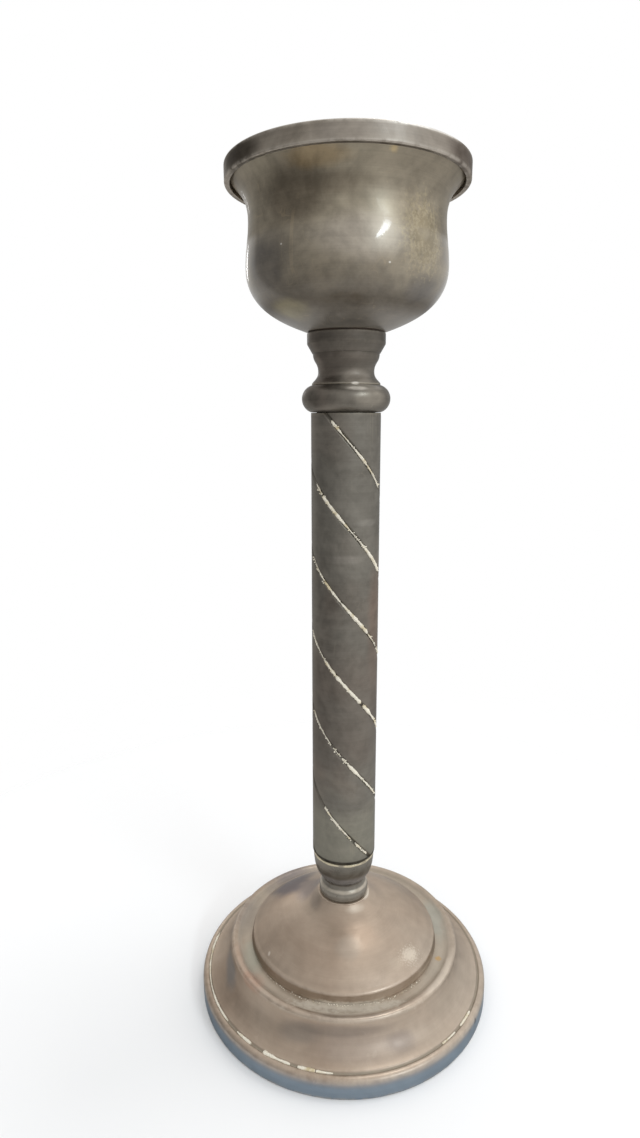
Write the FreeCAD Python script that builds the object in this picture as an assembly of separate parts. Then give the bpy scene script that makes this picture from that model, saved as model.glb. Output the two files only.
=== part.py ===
import FreeCAD, Part
import math
import os

# A turned brass candlestick, in millimetres.
# The origin is the centre of the underside, +Z is up and -Y is the front.
# The pieces are stacked on one tie rod: foot, dome, knop, column, ring, neck and cup.

# Heights of the stack, from the table up
foot_height = 19.2
dome_height = 20.1
knop_height = 18.3
column_length = 169.3
column_end_play = 0.2
ring_height = 9.0
neck_height = 17.3
cup_washer_thickness = 0.4
cup_height = 51.0

# Foot: a spun shell with a lip, a fine groove, a cove, a rolled step and a flat land
foot_radius = 57.15
foot_wall = 2.0
foot_edge_round = 0.6
foot_side_height = 6.0
foot_lip_round = 1.9
foot_groove_inset = 2.75
foot_groove_width = 1.2
foot_groove_depth = 0.45
foot_cove_rise = 0.3
foot_cove_depth = 1.9
foot_land_width = 8.2
foot_roll_radius = 1.3
foot_roll_rise = 1.1
foot_dip_width = 3.6
foot_ledge_width = 6.3

# Dome: a spun cap whose skirt stands on the land of the foot
dome_radius = 37.3
dome_wall = 2.0
dome_skirt_height = 2.4
dome_skirt_lean = 0.5
dome_shoulder_width = 1.3
dome_shoulder_rise = 1.7
dome_crown_margin = 0.6
dome_crown_round = 0.3
dome_crown_step = 0.5
dome_cove_width = 8.0
dome_cove_drop = 5.7
dome_cove_bow = 0.69
dome_swell = 0.9

# Lower knop: a bead, a waist and a bowl-like bulb, with a spigot up into the column
bead_radius = 9.7
bead_height = 4.2
bead_crown = 0.45
knop_waist_radius = 8.4
knop_waist_height = 7.0
bulb_step = 0.35
bulb_lip = 0.3
knop_register_radius = 6.5

# Column: a tube with three left-handed spiral grooves
column_radius = 12.25
column_wall = 2.0
column_edge_round = 0.5
groove_starts = 3
groove_lead = 88.0
groove_width = 1.7
groove_depth = 0.75
groove_front_drop = 9.1
spigot_length = 8.0

# Ring and neck above the column
ring_radius = 15.4
neck_foot_step = 0.35
neck_foot_height = 0.6
neck_waist_radius = 9.7
neck_waist_height = 4.7
neck_quirk_radius = 11.5
neck_quirk_height = 10.6
neck_quirk_step = 0.2
neck_flange_radius = 13.5
neck_flange_height = 3.6
neck_edge_round = 0.35

# Cup: a spun bowl with a flared lip inside a band
cup_wall = 1.6
cup_floor_inset = 0.1
cup_floor_slope = 20.0
cup_belly_radius = 33.9
cup_belly_height = 19.5
cup_waist_radius = 32.75
cup_waist_height = 34.8
cup_flare_height = 46.8
cup_flare_slope = 42.0
band_radius = 40.2
band_wall = 1.8
band_height = 5.7
band_top = 1.4
band_round = 0.5

# Tie rod, nut and washers, M8 with a 1.25 mm pitch
rod_radius = 4.0
rod_end_chamfer = 0.8
rod_tail = 2.5
nut_across_flats = 13.0
nut_height = 6.5
nut_bevel_angle = 30.0
lock_washer_radius = 7.4
lock_washer_thickness = 2.0
lock_washer_split = 1.4
base_washer_radius = 12.0
base_washer_thickness = 1.6
base_disc_lap = 6.0
base_disc_thickness = 2.0

# Bush in the cup, screwed on the top of the rod
bush_head_radius = 10.5
bush_head_height = 2.4
bush_head_round = 0.9
bush_shank_radius = 6.5
bush_shank_length = 9.1
bush_cap = 1.7
bush_rod_room = 0.8
cup_washer_inset = 0.6

# Clearances
thread_clearance = 0.05
register_clearance = 0.05
spigot_clearance = 0.08
rod_clearance = 0.3
bush_room = 0.4

# Shares that shape the curves
shoulder_handle_shares = (0.6, 0.5, 0.25)
bulb_handle_shares = (0.45, 0.13, 0.62)
neck_handle_share = 0.5
neck_flare_shares = (0.42, 0.34)
bowl_handle_shares = (0.45, 0.62)
belly_handle_share = 0.4
flare_handle_shares = (0.55, 0.3)
flare_wall_share = 0.55
arc_mid_share = math.sin(math.pi / 4)

# Overrun of every cut past the faces it goes through
overrun = 2.0

# Levels that follow from the stack
dome_z = foot_height
knop_z = dome_z + dome_height
column_seat_z = knop_z + knop_height
column_z = column_seat_z + column_end_play
column_top_z = column_z + column_length
ring_z = column_top_z + column_end_play
neck_z = ring_z + ring_height
neck_top_z = neck_z + neck_height
cup_z = neck_top_z + cup_washer_thickness
top_z = cup_z + cup_height
land_under_z = foot_height - foot_wall
base_washer_z = land_under_z - base_disc_thickness
lock_washer_z = base_washer_z - base_washer_thickness
nut_top_z = lock_washer_z - lock_washer_thickness
nut_z = nut_top_z - nut_height
rod_z = nut_z - rod_tail
bush_z = cup_z - bush_shank_length
bush_blind_z = cup_z + cup_wall + bush_head_height - bush_cap
rod_top_z = bush_blind_z - bush_rod_room

# Radii that follow from the fits
rod_hole_radius = rod_radius + rod_clearance
tapped_radius = rod_radius + thread_clearance
column_bore = column_radius - column_wall
spigot_radius = column_bore - spigot_clearance
register_hole = knop_register_radius + register_clearance
bush_hole = bush_shank_radius + register_clearance
neck_counterbore = bush_shank_radius + rod_clearance
lip_radius = band_radius - band_wall

# Radii that line up with a neighbour
foot_groove_radius = foot_radius - foot_groove_inset
foot_step_radius = dome_radius + foot_land_width
foot_opening_radius = dome_radius - dome_wall - foot_ledge_width
base_disc_radius = foot_opening_radius + base_disc_lap
dome_crown_radius = bead_radius + dome_crown_margin
bulb_radius = column_radius - bulb_step
neck_foot_radius = column_radius - neck_foot_step
cup_floor_radius = neck_flange_radius - cup_floor_inset
cup_washer_radius = neck_flange_radius - cup_washer_inset


def vec(r, z):
    """A point of a half section, at radius r and height z."""
    return FreeCAD.Vector(r, 0, z)


def along(start, degrees, length):
    """The point at a length from start, in a direction given above the outward horizontal."""
    angle = math.radians(degrees)
    return vec(start.x + length * math.cos(angle), start.z + length * math.sin(angle))


class Outline:
    """A half section, drawn point by point and then turned about the Z axis."""

    def __init__(self, r, z):
        self.start = vec(r, z)
        self.here = self.start
        self.edges = []

    def line(self, r, z):
        """A straight stretch to a point."""
        end = vec(r, z)
        self.edges.append(Part.makeLine(self.here, end))
        self.here = end

    def arc(self, middle, r, z):
        """A round stretch through a middle point."""
        end = vec(r, z)
        self.edges.append(Part.Arc(self.here, middle, end).toShape())
        self.here = end

    def corner(self, r, z, convex=True):
        """A quarter round to a point; the first half goes up or down if the curve is convex."""
        across = r - self.here.x
        up = z - self.here.z
        if convex:
            middle = vec(self.here.x + across * (1 - arc_mid_share), self.here.z + up * arc_mid_share)
        else:
            middle = vec(self.here.x + across * arc_mid_share, self.here.z + up * (1 - arc_mid_share))
        self.arc(middle, r, z)

    def bow(self, depth, r, z):
        """A round stretch that bows by a depth to the left of the way it runs."""
        end = vec(r, z)
        run = end - self.here
        side = vec(-run.z, run.x).normalize()
        self.arc((self.here + end) * 0.5 + side * depth, r, z)

    def curve(self, first, second, r, z):
        """A smooth stretch with two handles."""
        end = vec(r, z)
        bezier = Part.BezierCurve()
        bezier.setPoles([self.here, first, second, end])
        self.edges.append(bezier.toShape())
        self.here = end

    def turn(self):
        """Close the section and turn it into a solid."""
        self.line(self.start.x, self.start.z)
        face = Part.Face(Part.Wire(self.edges))
        return face.revolve(vec(0, 0), vec(0, 1), 360)


def disc(radius, hole, z, height):
    """A flat ring or washer."""
    body = Part.makeCylinder(radius, height, vec(0, z))
    return body.cut(Part.makeCylinder(hole, height + 2 * overrun, vec(0, z - overrun)))


def foot_shell():
    """The stepped foot, open below, with a flat land that the dome stands on."""
    lip_r = foot_radius - foot_lip_round
    lip_z = foot_side_height + foot_lip_round
    half_groove = foot_groove_width / 2
    cove_r = foot_groove_radius - half_groove
    cove_z = lip_z + foot_cove_rise
    roll_r = foot_step_radius - foot_roll_radius
    crest_z = foot_height + foot_roll_rise
    roll_z = crest_z - foot_roll_radius
    land_r = roll_r - foot_dip_width
    dip_r = roll_r - foot_dip_width / 2

    section = Outline(foot_radius - foot_wall, 0)
    section.line(foot_radius - foot_edge_round, 0)
    section.corner(foot_radius, foot_edge_round, convex=False)
    section.line(foot_radius, foot_side_height)
    section.corner(lip_r, lip_z)
    section.line(foot_groove_radius + half_groove, lip_z)
    section.line(foot_groove_radius, lip_z - foot_groove_depth)
    section.line(cove_r, cove_z)
    section.bow(foot_cove_depth, foot_step_radius, roll_z)
    section.corner(roll_r, crest_z)
    section.curve(vec(dip_r, crest_z), vec(dip_r, foot_height), land_r, foot_height)
    section.line(foot_opening_radius, foot_height)
    section.line(foot_opening_radius, land_under_z)
    section.line(foot_step_radius - foot_wall, land_under_z)
    section.bow(-foot_cove_depth, cove_r - foot_wall / 2, cove_z - foot_wall)
    section.line(foot_radius - foot_wall, foot_side_height - foot_wall / 2)
    return section.turn()


def base_dome():
    """The domed cap: a skirt, a rounded shoulder, a swelling roof and a small crown."""
    skirt_z = dome_z + dome_skirt_height
    skirt_r = dome_radius - dome_skirt_lean
    roof_r = skirt_r - dome_shoulder_width
    roof_z = skirt_z + dome_shoulder_rise
    crown_z = knop_z - dome_crown_step
    cove_r = dome_crown_radius + dome_cove_width
    cove_z = crown_z - dome_cove_drop
    half_wall = dome_wall / 2
    under_z = knop_z - dome_wall - dome_crown_step

    section = Outline(dome_radius - dome_wall, dome_z)
    section.line(dome_radius, dome_z)
    section.line(skirt_r, skirt_z)
    section.curve(
        vec(skirt_r, skirt_z + dome_shoulder_rise * shoulder_handle_shares[0]),
        vec(
            roof_r + dome_shoulder_width * shoulder_handle_shares[1],
            roof_z - dome_shoulder_rise * shoulder_handle_shares[2],
        ),
        roof_r,
        roof_z,
    )
    section.bow(-dome_swell, cove_r, cove_z)
    section.bow(dome_cove_bow, dome_crown_radius, crown_z)
    section.line(dome_crown_radius, knop_z - dome_crown_round)
    section.corner(dome_crown_radius - dome_crown_round, knop_z)
    section.line(register_hole, knop_z)
    section.line(register_hole, under_z)
    section.line(dome_crown_radius - half_wall, under_z)
    section.bow(-dome_cove_bow, cove_r - half_wall, cove_z - dome_wall)
    section.bow(dome_swell, roof_r - half_wall, roof_z - dome_wall)
    section.line(dome_radius - dome_wall, skirt_z - half_wall)
    return section.turn()


def lower_knop():
    """The turned knop under the column, registered in the crown of the dome."""
    bead_r = bead_radius - bead_crown
    bead_z = knop_z + bead_height
    waist_z = knop_z + knop_waist_height
    bulb_z = column_seat_z - bulb_lip
    rise = bulb_z - waist_z
    register_z = knop_z - dome_wall

    section = Outline(rod_hole_radius, register_z)
    section.line(knop_register_radius, register_z)
    section.line(knop_register_radius, knop_z)
    section.line(bead_r, knop_z)
    section.bow(-bead_crown, bead_r, bead_z)
    section.bow((bead_r - knop_waist_radius) / 2, knop_waist_radius, waist_z)
    swell = bulb_radius - knop_waist_radius
    section.curve(
        vec(knop_waist_radius + swell * bulb_handle_shares[0], waist_z + rise * bulb_handle_shares[1]),
        vec(bulb_radius, bulb_z - rise * bulb_handle_shares[2]),
        bulb_radius,
        bulb_z,
    )
    section.corner(bulb_radius - bulb_lip, column_seat_z)
    section.line(spigot_radius, column_seat_z)
    section.line(spigot_radius, column_z + spigot_length)
    section.line(rod_hole_radius, column_z + spigot_length)
    return section.turn()


def spiral_groove(turn_degrees):
    """The wedge that cuts one groove, running past both ends of the column."""
    height = column_length + 2 * overrun
    spine = Part.makeHelix(groove_lead, height, column_radius)
    lead_angle = math.atan2(groove_lead, 2 * math.pi * column_radius)
    outside = column_radius + overrun
    half_width = groove_width / 2 * (groove_depth + overrun) / groove_depth
    across = half_width * math.sin(lead_angle)
    up = half_width * math.cos(lead_angle)
    corners = [
        FreeCAD.Vector(column_radius - groove_depth, 0, 0),
        FreeCAD.Vector(outside, across, -up),
        FreeCAD.Vector(outside, -across, up),
    ]
    profile = Part.makePolygon(corners + corners[:1])
    wedge = Part.Wire(spine.Edges).makePipeShell([profile], True, True)
    wedge = wedge.mirror(FreeCAD.Vector(0, 0, 0), FreeCAD.Vector(0, 1, 0))
    start_z = column_z - overrun
    front_z = column_top_z - groove_front_drop
    start_degrees = 360 * (front_z - start_z) / groove_lead - 90
    wedge.rotate(vec(0, 0), vec(0, 1), start_degrees + turn_degrees)
    wedge.translate(vec(0, start_z))
    return wedge


def column_tube():
    """The grooved sleeve that turns on the two spigots."""
    section = Outline(column_bore, column_z)
    section.line(column_radius - column_edge_round, column_z)
    section.corner(column_radius, column_z + column_edge_round, convex=False)
    section.line(column_radius, column_top_z)
    section.line(column_bore, column_top_z)
    tube = section.turn()
    step = 360 / groove_starts
    return tube.cut([spiral_groove(step * start) for start in range(groove_starts)])


def column_ring():
    """The half-round ring on top of the column, with a spigot down into it."""
    spigot_z = column_top_z - spigot_length
    section = Outline(rod_hole_radius, spigot_z)
    section.line(spigot_radius, spigot_z)
    section.line(spigot_radius, ring_z)
    section.line(column_radius, ring_z)
    section.arc(vec(ring_radius, ring_z + ring_height / 2), column_radius, neck_z)
    section.line(rod_hole_radius, neck_z)
    return section.turn()


def cup_neck():
    """The waisted neck and its tapered flange, tapped on the rod and bored out for the bush."""
    foot_z = neck_z + neck_foot_height
    waist_z = neck_z + neck_waist_height
    quirk_z = neck_z + neck_quirk_height
    flange_z = neck_top_z - neck_flange_height
    flare_r = neck_foot_radius - (neck_foot_radius - neck_waist_radius) * neck_flare_shares[0]
    flare_z = foot_z + (waist_z - foot_z) * neck_flare_shares[1]
    lower_handle = neck_waist_height * neck_handle_share
    upper_handle = (quirk_z - waist_z) * neck_handle_share
    seat_z = bush_z - bush_room

    section = Outline(tapped_radius, neck_z)
    section.line(neck_foot_radius - neck_edge_round, neck_z)
    section.corner(neck_foot_radius, neck_z + neck_edge_round, convex=False)
    section.line(neck_foot_radius, foot_z)
    section.curve(
        vec(flare_r, flare_z),
        vec(neck_waist_radius, waist_z - lower_handle),
        neck_waist_radius,
        waist_z,
    )
    section.curve(
        vec(neck_waist_radius, waist_z + upper_handle),
        vec(neck_quirk_radius, quirk_z - upper_handle),
        neck_quirk_radius,
        quirk_z,
    )
    section.line(neck_quirk_radius + neck_quirk_step, quirk_z)
    section.line(neck_flange_radius, flange_z)
    section.line(neck_flange_radius, neck_top_z - neck_edge_round)
    section.corner(neck_flange_radius - neck_edge_round, neck_top_z)
    section.line(neck_counterbore, neck_top_z)
    section.line(neck_counterbore, seat_z)
    section.line(tapped_radius, seat_z)
    return section.turn()


def bowl_side(section, inset):
    """The S-shaped side of the bowl from floor to flare, moved in by the wall for the inside."""
    floor = section.here
    belly = vec(cup_belly_radius - inset, cup_z + cup_belly_height)
    waist = vec(cup_waist_radius - inset, cup_z + cup_waist_height)
    flare = vec(lip_radius - inset, cup_z + cup_flare_height + inset * flare_wall_share)
    belly_rise = belly.z - floor.z
    waist_rise = waist.z - belly.z
    flare_rise = flare.z - waist.z
    section.curve(
        along(floor, cup_floor_slope, (belly.x - floor.x) * bowl_handle_shares[0]),
        vec(belly.x, belly.z - belly_rise * bowl_handle_shares[1]),
        belly.x,
        belly.z,
    )
    section.curve(
        vec(belly.x, belly.z + waist_rise * belly_handle_share),
        vec(waist.x, waist.z - waist_rise * belly_handle_share),
        waist.x,
        waist.z,
    )
    section.curve(
        vec(waist.x, waist.z + flare_rise * flare_handle_shares[0]),
        along(flare, cup_flare_slope, -flare_rise * flare_handle_shares[1]),
        flare.x,
        flare.z,
    )


def cup_bowl():
    """The spun bowl, with a short upright lip held in the band."""
    lip_z = top_z - band_top
    outside = Outline(cup_floor_radius, cup_z)
    bowl_side(outside, 0)
    outside.line(lip_radius, lip_z)
    outside.line(lip_radius - cup_wall, lip_z)
    inside = Outline(cup_floor_radius, cup_z + cup_wall)
    bowl_side(inside, cup_wall)
    outside.line(inside.here.x, inside.here.z)
    outside.edges.extend(reversed(inside.edges))
    outside.here = inside.start
    outside.line(bush_hole, cup_z + cup_wall)
    outside.line(bush_hole, cup_z)
    return outside.turn()


def rim_band():
    """The flat band round the rim, turned over the lip of the bowl."""
    inner_r = lip_radius - cup_wall
    section = Outline(lip_radius, top_z - band_height)
    section.line(band_radius - band_round, top_z - band_height)
    section.corner(band_radius, top_z - band_height + band_round, convex=False)
    section.line(band_radius, top_z - band_round)
    section.corner(band_radius - band_round, top_z)
    section.line(inner_r + band_round, top_z)
    section.corner(inner_r, top_z - band_round, convex=False)
    section.line(inner_r, top_z - band_top)
    section.line(lip_radius, top_z - band_top)
    return section.turn()


def cup_bush():
    """The threaded bush in the floor of the cup, closed at the top so that no wax runs down."""
    floor_z = cup_z + cup_wall
    head_z = floor_z + bush_head_height
    section = Outline(tapped_radius, bush_z)
    section.line(bush_shank_radius, bush_z)
    section.line(bush_shank_radius, floor_z)
    section.line(bush_head_radius, floor_z)
    section.line(bush_head_radius, head_z - bush_head_round)
    section.corner(bush_head_radius - bush_head_round, head_z)
    section.line(0, head_z)
    section.line(0, bush_blind_z)
    section.line(tapped_radius, bush_blind_z)
    return section.turn()


def tie_rod():
    """The rod through the whole stack, with bevelled ends."""
    tip = rod_radius - rod_end_chamfer
    section = Outline(0, rod_z)
    section.line(tip, rod_z)
    section.line(rod_radius, rod_z + rod_end_chamfer)
    section.line(rod_radius, rod_top_z - rod_end_chamfer)
    section.line(tip, rod_top_z)
    section.line(0, rod_top_z)
    return section.turn()


def base_nut():
    """A hexagon nut, bevelled on both faces."""
    corner_r = nut_across_flats / math.sqrt(3)
    turns = [math.pi * side / 3 for side in range(6)]
    corners = [FreeCAD.Vector(corner_r * math.cos(t), corner_r * math.sin(t), nut_z) for t in turns]
    prism = Part.Face(Part.makePolygon(corners + corners[:1])).extrude(vec(0, nut_height))
    face_r = nut_across_flats / 2
    bevel = (corner_r - face_r) * math.tan(math.radians(nut_bevel_angle))
    section = Outline(tapped_radius, nut_z)
    section.line(face_r, nut_z)
    section.line(corner_r, nut_z + bevel)
    section.line(corner_r, nut_top_z - bevel)
    section.line(face_r, nut_top_z)
    section.line(tapped_radius, nut_top_z)
    return prism.common(section.turn())


def lock_washer():
    """A flattened spring washer with its split."""
    ring = disc(lock_washer_radius, rod_hole_radius, nut_top_z, lock_washer_thickness)
    split = Part.makeBox(
        lock_washer_radius + overrun,
        lock_washer_split,
        lock_washer_thickness + 2 * overrun,
        FreeCAD.Vector(0, -lock_washer_split / 2, nut_top_z - overrun),
    )
    return ring.cut(split)


def main():
    """Build every piece and write each to its own file."""
    pieces = {
        "foot_shell": foot_shell(),
        "base_dome": base_dome(),
        "lower_knop": lower_knop(),
        "column_tube": column_tube(),
        "column_ring": column_ring(),
        "cup_neck": cup_neck(),
        "cup_washer": disc(cup_washer_radius, neck_counterbore, neck_top_z, cup_washer_thickness),
        "cup_bowl": cup_bowl(),
        "rim_band": rim_band(),
        "cup_bush": cup_bush(),
        "tie_rod": tie_rod(),
        "base_disc": disc(base_disc_radius, rod_hole_radius, base_washer_z, base_disc_thickness),
        "base_washer": disc(base_washer_radius, rod_hole_radius, lock_washer_z, base_washer_thickness),
        "lock_washer": lock_washer(),
        "base_nut": base_nut(),
    }
    os.makedirs("parts", exist_ok=True)
    for name, shape in pieces.items():
        print(name, shape.isValid(), len(shape.Solids), round(shape.Volume, 1))
        shape.exportStep("parts/" + name + ".step")


main()
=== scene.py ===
"""Looks of a tarnished brass candlestick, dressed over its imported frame."""
import logging
import math
from abc import ABC, abstractmethod
from dataclasses import dataclass, field
from enum import Enum
from functools import cache
from typing import Any, Sequence

import bmesh
import bpy
from mathutils import Matrix, Vector


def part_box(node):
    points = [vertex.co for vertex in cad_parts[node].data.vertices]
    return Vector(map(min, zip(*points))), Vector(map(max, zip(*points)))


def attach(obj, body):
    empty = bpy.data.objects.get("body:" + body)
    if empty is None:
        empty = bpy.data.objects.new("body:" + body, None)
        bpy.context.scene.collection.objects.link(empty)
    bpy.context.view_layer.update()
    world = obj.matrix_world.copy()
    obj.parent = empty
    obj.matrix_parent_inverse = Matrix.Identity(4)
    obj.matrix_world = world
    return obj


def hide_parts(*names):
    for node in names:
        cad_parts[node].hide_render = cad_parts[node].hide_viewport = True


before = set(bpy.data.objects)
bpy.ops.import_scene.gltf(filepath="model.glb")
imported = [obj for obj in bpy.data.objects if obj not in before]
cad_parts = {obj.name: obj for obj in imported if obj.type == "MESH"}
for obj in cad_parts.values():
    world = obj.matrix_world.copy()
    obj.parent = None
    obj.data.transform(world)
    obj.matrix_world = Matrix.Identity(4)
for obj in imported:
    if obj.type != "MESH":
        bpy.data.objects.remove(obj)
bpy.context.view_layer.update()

LOG = logging.getLogger("candlestick")
MM = 0.001
WELD, TINY = 0.002 * MM, 1e-8
SPUN_DRIFT, FINE_SEGMENTS, FEWEST_STEPS = 0.0006, 160, 6
Point = tuple[float, float]
Colour = Spot = tuple[float, float, float]
Socket = bpy.types.NodeSocket
Tree = bpy.types.NodeTree
Mesh = bpy.types.Mesh
Material = bpy.types.Material
Thing = bpy.types.Object
Pieces = list[Thing]
Looks = dict[str, Any]


class Body(Enum):
    """The moving bodies of the frame."""

    BASE = "base"
    COLUMN = "column"
    CUP = "cup"


class Slot(Enum):
    """The material slots of the record."""

    BASE_BRASS = "base_brass"
    STEM_BRASS = "stem_brass"
    CUP_BRASS = "cup_brass"
    FIXING_STEEL = "fixing_steel"


class Leave(Enum):
    """How a quarter round leaves its first point."""

    ALONG_AXIS = "along"
    ACROSS_AXIS = "across"


# Sections of the turned pieces


@dataclass(frozen=True)
class Span:
    """Where a node of the frame starts, ends and reaches to, in millimetres."""

    bottom: float
    top: float
    radius: float

    @classmethod
    def of(cls, node: str) -> "Span":
        """Measure a node of the frame.

        Args:
            node: the node's name.

        Returns:
            Its span along the axis and its outer radius.
        """
        low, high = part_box(node)
        return cls(low[2] / MM, high[2] / MM, high[0] / MM)


def measured(node: str) -> Any:
    """Give a field that holds the span of a node of the frame."""
    return field(default_factory=lambda: Span.of(node))


def along(start: Point, degrees: float, length: float) -> Point:
    """Give the point at a length from start, in a direction above the outward horizontal."""
    angle = math.radians(degrees)
    return start[0] + length * math.cos(angle), start[1] + length * math.sin(angle)


class Pen:
    """Draws the half section of a turned piece in millimetres, with its metal on the left."""

    def __init__(self, r: float, z: float) -> None:
        """Put the pen down at a first point."""
        self.points: list[Point] = [(r, z)]

    @property
    def here(self) -> Point:
        """Where the pen stands."""
        return self.points[-1]

    def line(self, r: float, z: float) -> "Pen":
        """Draw a straight stretch."""
        self.points.append((r, z))
        return self

    def bow(self, depth: float, r: float, z: float, steps: int = 16) -> "Pen":
        """Draw a round stretch that bows to the left of the way it runs.

        Args:
            depth: how far the middle stands off the straight line.
            r: radius of the end.
            z: height of the end.
            steps: how many short lines make the stretch.

        Returns:
            The pen itself.
        """
        start, end = Vector(self.here), Vector((r, z))
        run = end - start
        side = Vector((-run.y, run.x)).normalized() * math.copysign(1.0, depth)
        half, rise = run.length / 2, abs(depth)
        radius = (half * half + rise * rise) / (2 * rise)
        centre = (start + end) / 2 + side * (rise - radius)
        sweep = math.asin(min(1.0, half / radius))
        if rise > radius:
            sweep = math.pi - sweep
        for step in range(1, steps):
            angle = sweep * (2 * step / steps - 1)
            spot = centre + side * radius * math.cos(angle)
            spot = spot + run.normalized() * radius * math.sin(angle)
            self.points.append((spot.x, spot.y))
        return self.line(r, z)

    def curve(self, first: Point, second: Point, r: float, z: float, steps: int = 22) -> "Pen":
        """Draw a smooth stretch with two handles.

        Args:
            first: handle of the start.
            second: handle of the end.
            r: radius of the end.
            z: height of the end.
            steps: how many short lines make the stretch.

        Returns:
            The pen itself.
        """
        poles = [Vector(self.here), Vector(first), Vector(second), Vector((r, z))]
        for step in range(1, steps + 1):
            t = step / steps
            weights = ((1 - t) ** 3, 3 * t * (1 - t) ** 2, 3 * t * t * (1 - t), t**3)
            spot = sum((pole * weight for pole, weight in zip(poles, weights)), Vector((0, 0)))
            self.points.append((spot.x, spot.y))
        return self

    def corner(self, r: float, z: float, leave: Leave = Leave.ALONG_AXIS, steps: int = 6) -> "Pen":
        """Draw a quarter round.

        Args:
            r: radius of the end.
            z: height of the end.
            leave: how the pen leaves the first point.
            steps: how many short lines make the stretch.

        Returns:
            The pen itself.
        """
        r0, z0 = self.here
        for step in range(1, steps + 1):
            angle = math.pi / 2 * step / steps
            slow, fast = 1 - math.cos(angle), math.sin(angle)
            across, up = (slow, fast) if leave is Leave.ALONG_AXIS else (fast, slow)
            self.points.append((r0 + (r - r0) * across, z0 + (z - z0) * up))
        return self


def eased(points: Sequence[Point], radius: float, closed: bool) -> list[Point]:
    """Round the sharp corners of a section a little, as handling does.

    Args:
        points: the section.
        radius: how far each corner is cut back at most.
        closed: whether the last point joins the first.

    Returns:
        The section with a short curve at each sharp corner.
    """
    sharp, steps, share = math.radians(14), 5, 0.45
    spots = [Vector(point) for point in points]
    count = len(spots)
    result: list[Point] = []
    for index, spot in enumerate(spots):
        before = spots[index - 1] - spot
        after = spots[(index + 1) % count] - spot
        loose_end = not closed and index in (0, count - 1)
        if loose_end or math.pi - before.angle(after) < sharp:
            result.append(points[index])
            continue
        cut = min(radius, share * before.length, share * after.length)
        start = spot + before.normalized() * cut
        end = spot + after.normalized() * cut
        for step in range(steps + 1):
            t = step / steps
            round_spot = start * (1 - t) ** 2 + spot * 2 * t * (1 - t) + end * t * t
            result.append((round_spot.x, round_spot.y))
    return result


def refined(points: Sequence[Point], longest: float, closed: bool) -> list[Point]:
    """Divide the long stretches of a section, more finely near their ends.

    Args:
        points: the section.
        longest: the longest stretch to leave whole.
        closed: whether the last point joins the first.

    Returns:
        The section with more points.
    """
    ladder = (0.3, 0.7, 1.3)
    result: list[Point] = []
    count = len(points)
    for index, point in enumerate(points):
        result.append(point)
        if index == count - 1 and not closed:
            break
        start, end = Vector(point), Vector(points[(index + 1) % count])
        length = (end - start).length
        near = [rung for rung in ladder if 2 * rung < length]
        stops = [0.0, *near, *(length - rung for rung in reversed(near)), length]
        for low, high in zip(stops, stops[1:]):
            parts = max(1, math.ceil((high - low) / longest))
            for part in range(parts):
                share = (low + (high - low) * part / parts) / length
                if share > 0:
                    spot = start.lerp(end, share)
                    result.append((spot.x, spot.y))
    return result


def edge_marks(
    points: Sequence[Point], closed: bool, reach: float
) -> tuple[list[float], list[float]]:
    """Find where a section is proud, and rubs bright, and where it is hollow, and holds dirt.

    Args:
        points: the section.
        closed: whether the last point joins the first.
        reach: how far along the section a mark spreads.

    Returns:
        The wear and the grime at each point, from 0 to 1.
    """
    count = len(points)
    spots = [Vector(point) for point in points]
    bends = []
    for index in range(count):
        before = spots[index] - spots[index - 1]
        after = spots[(index + 1) % count] - spots[index]
        loose_end = not closed and index in (0, count - 1)
        bends.append(0.0 if loose_end else -before.angle_signed(after, 0.0))
    wear, grime = [], []
    for here in spots:
        proud = hollow = 0.0
        for there, bend in zip(spots, bends):
            near = max(0.0, 1 - (there - here).length / reach)
            proud += max(bend, 0.0) * near
            hollow += max(-bend, 0.0) * near
        wear.append(min(1.0, max(0.0, proud - hollow)))
        grime.append(min(1.0, max(0.0, hollow - proud)))
    return wear, grime


# Node trees

FLOAT, WHOLE, VECTOR = "NodeSocketFloat", "NodeSocketInt", "NodeSocketVector"
GEOMETRY, MATERIAL = "NodeSocketGeometry", "NodeSocketMaterial"
MESH_TREE, SHADER_TREE = "GeometryNodeTree", "ShaderNodeTree"
FLAT = (1.0, 1.0, 0.0)
STEP_INPUTS = ("Value", "From Min", "From Max", "To Min", "To Max")
# Where the middle of a noise lies, and how many clouds of it there are in a metre
SOFT, WIDE = (0.3, 0.7), (0.25, 0.75)
GAPS, RIDGES, SWELLS, CHALK, LUMPS = 330.0, 700.0, 90.0, 2400.0, 2600.0
# How a ridge of polish swells, and how crumbs fall, flatten and pucker
SWELL_SPAN, SWELL_SIZES, THICKEST = (0.36, 0.64), (0.6, 1.25), 1.2
CRUMB_STRIDE, CRUMB_START, CRUMB_FLAT, CRUMB_PUCKER = 0.731, 0.37, 0.7, 0.25 * MM


class Wire:
    """What a socket puts out, which takes part in sums like a number."""

    def __init__(self, sheet: "Sheet", socket: Socket) -> None:
        """Hold a socket of a sheet."""
        self.sheet, self.socket = sheet, socket

    def __add__(self, other: Any) -> "Wire":
        """Add a value."""
        return self.sheet.math("ADD", self, other)

    def __sub__(self, other: Any) -> "Wire":
        """Take a value away."""
        return self.sheet.math("SUBTRACT", self, other)

    def __rsub__(self, other: Any) -> "Wire":
        """Take this away from a value."""
        return self.sheet.math("SUBTRACT", other, self)

    def __mul__(self, other: Any) -> "Wire":
        """Multiply by a value."""
        return self.sheet.math("MULTIPLY", self, other)

    def __truediv__(self, other: Any) -> "Wire":
        """Divide by a value."""
        return self.sheet.math("DIVIDE", self, other)


Wires = dict[str, Wire]


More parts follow.
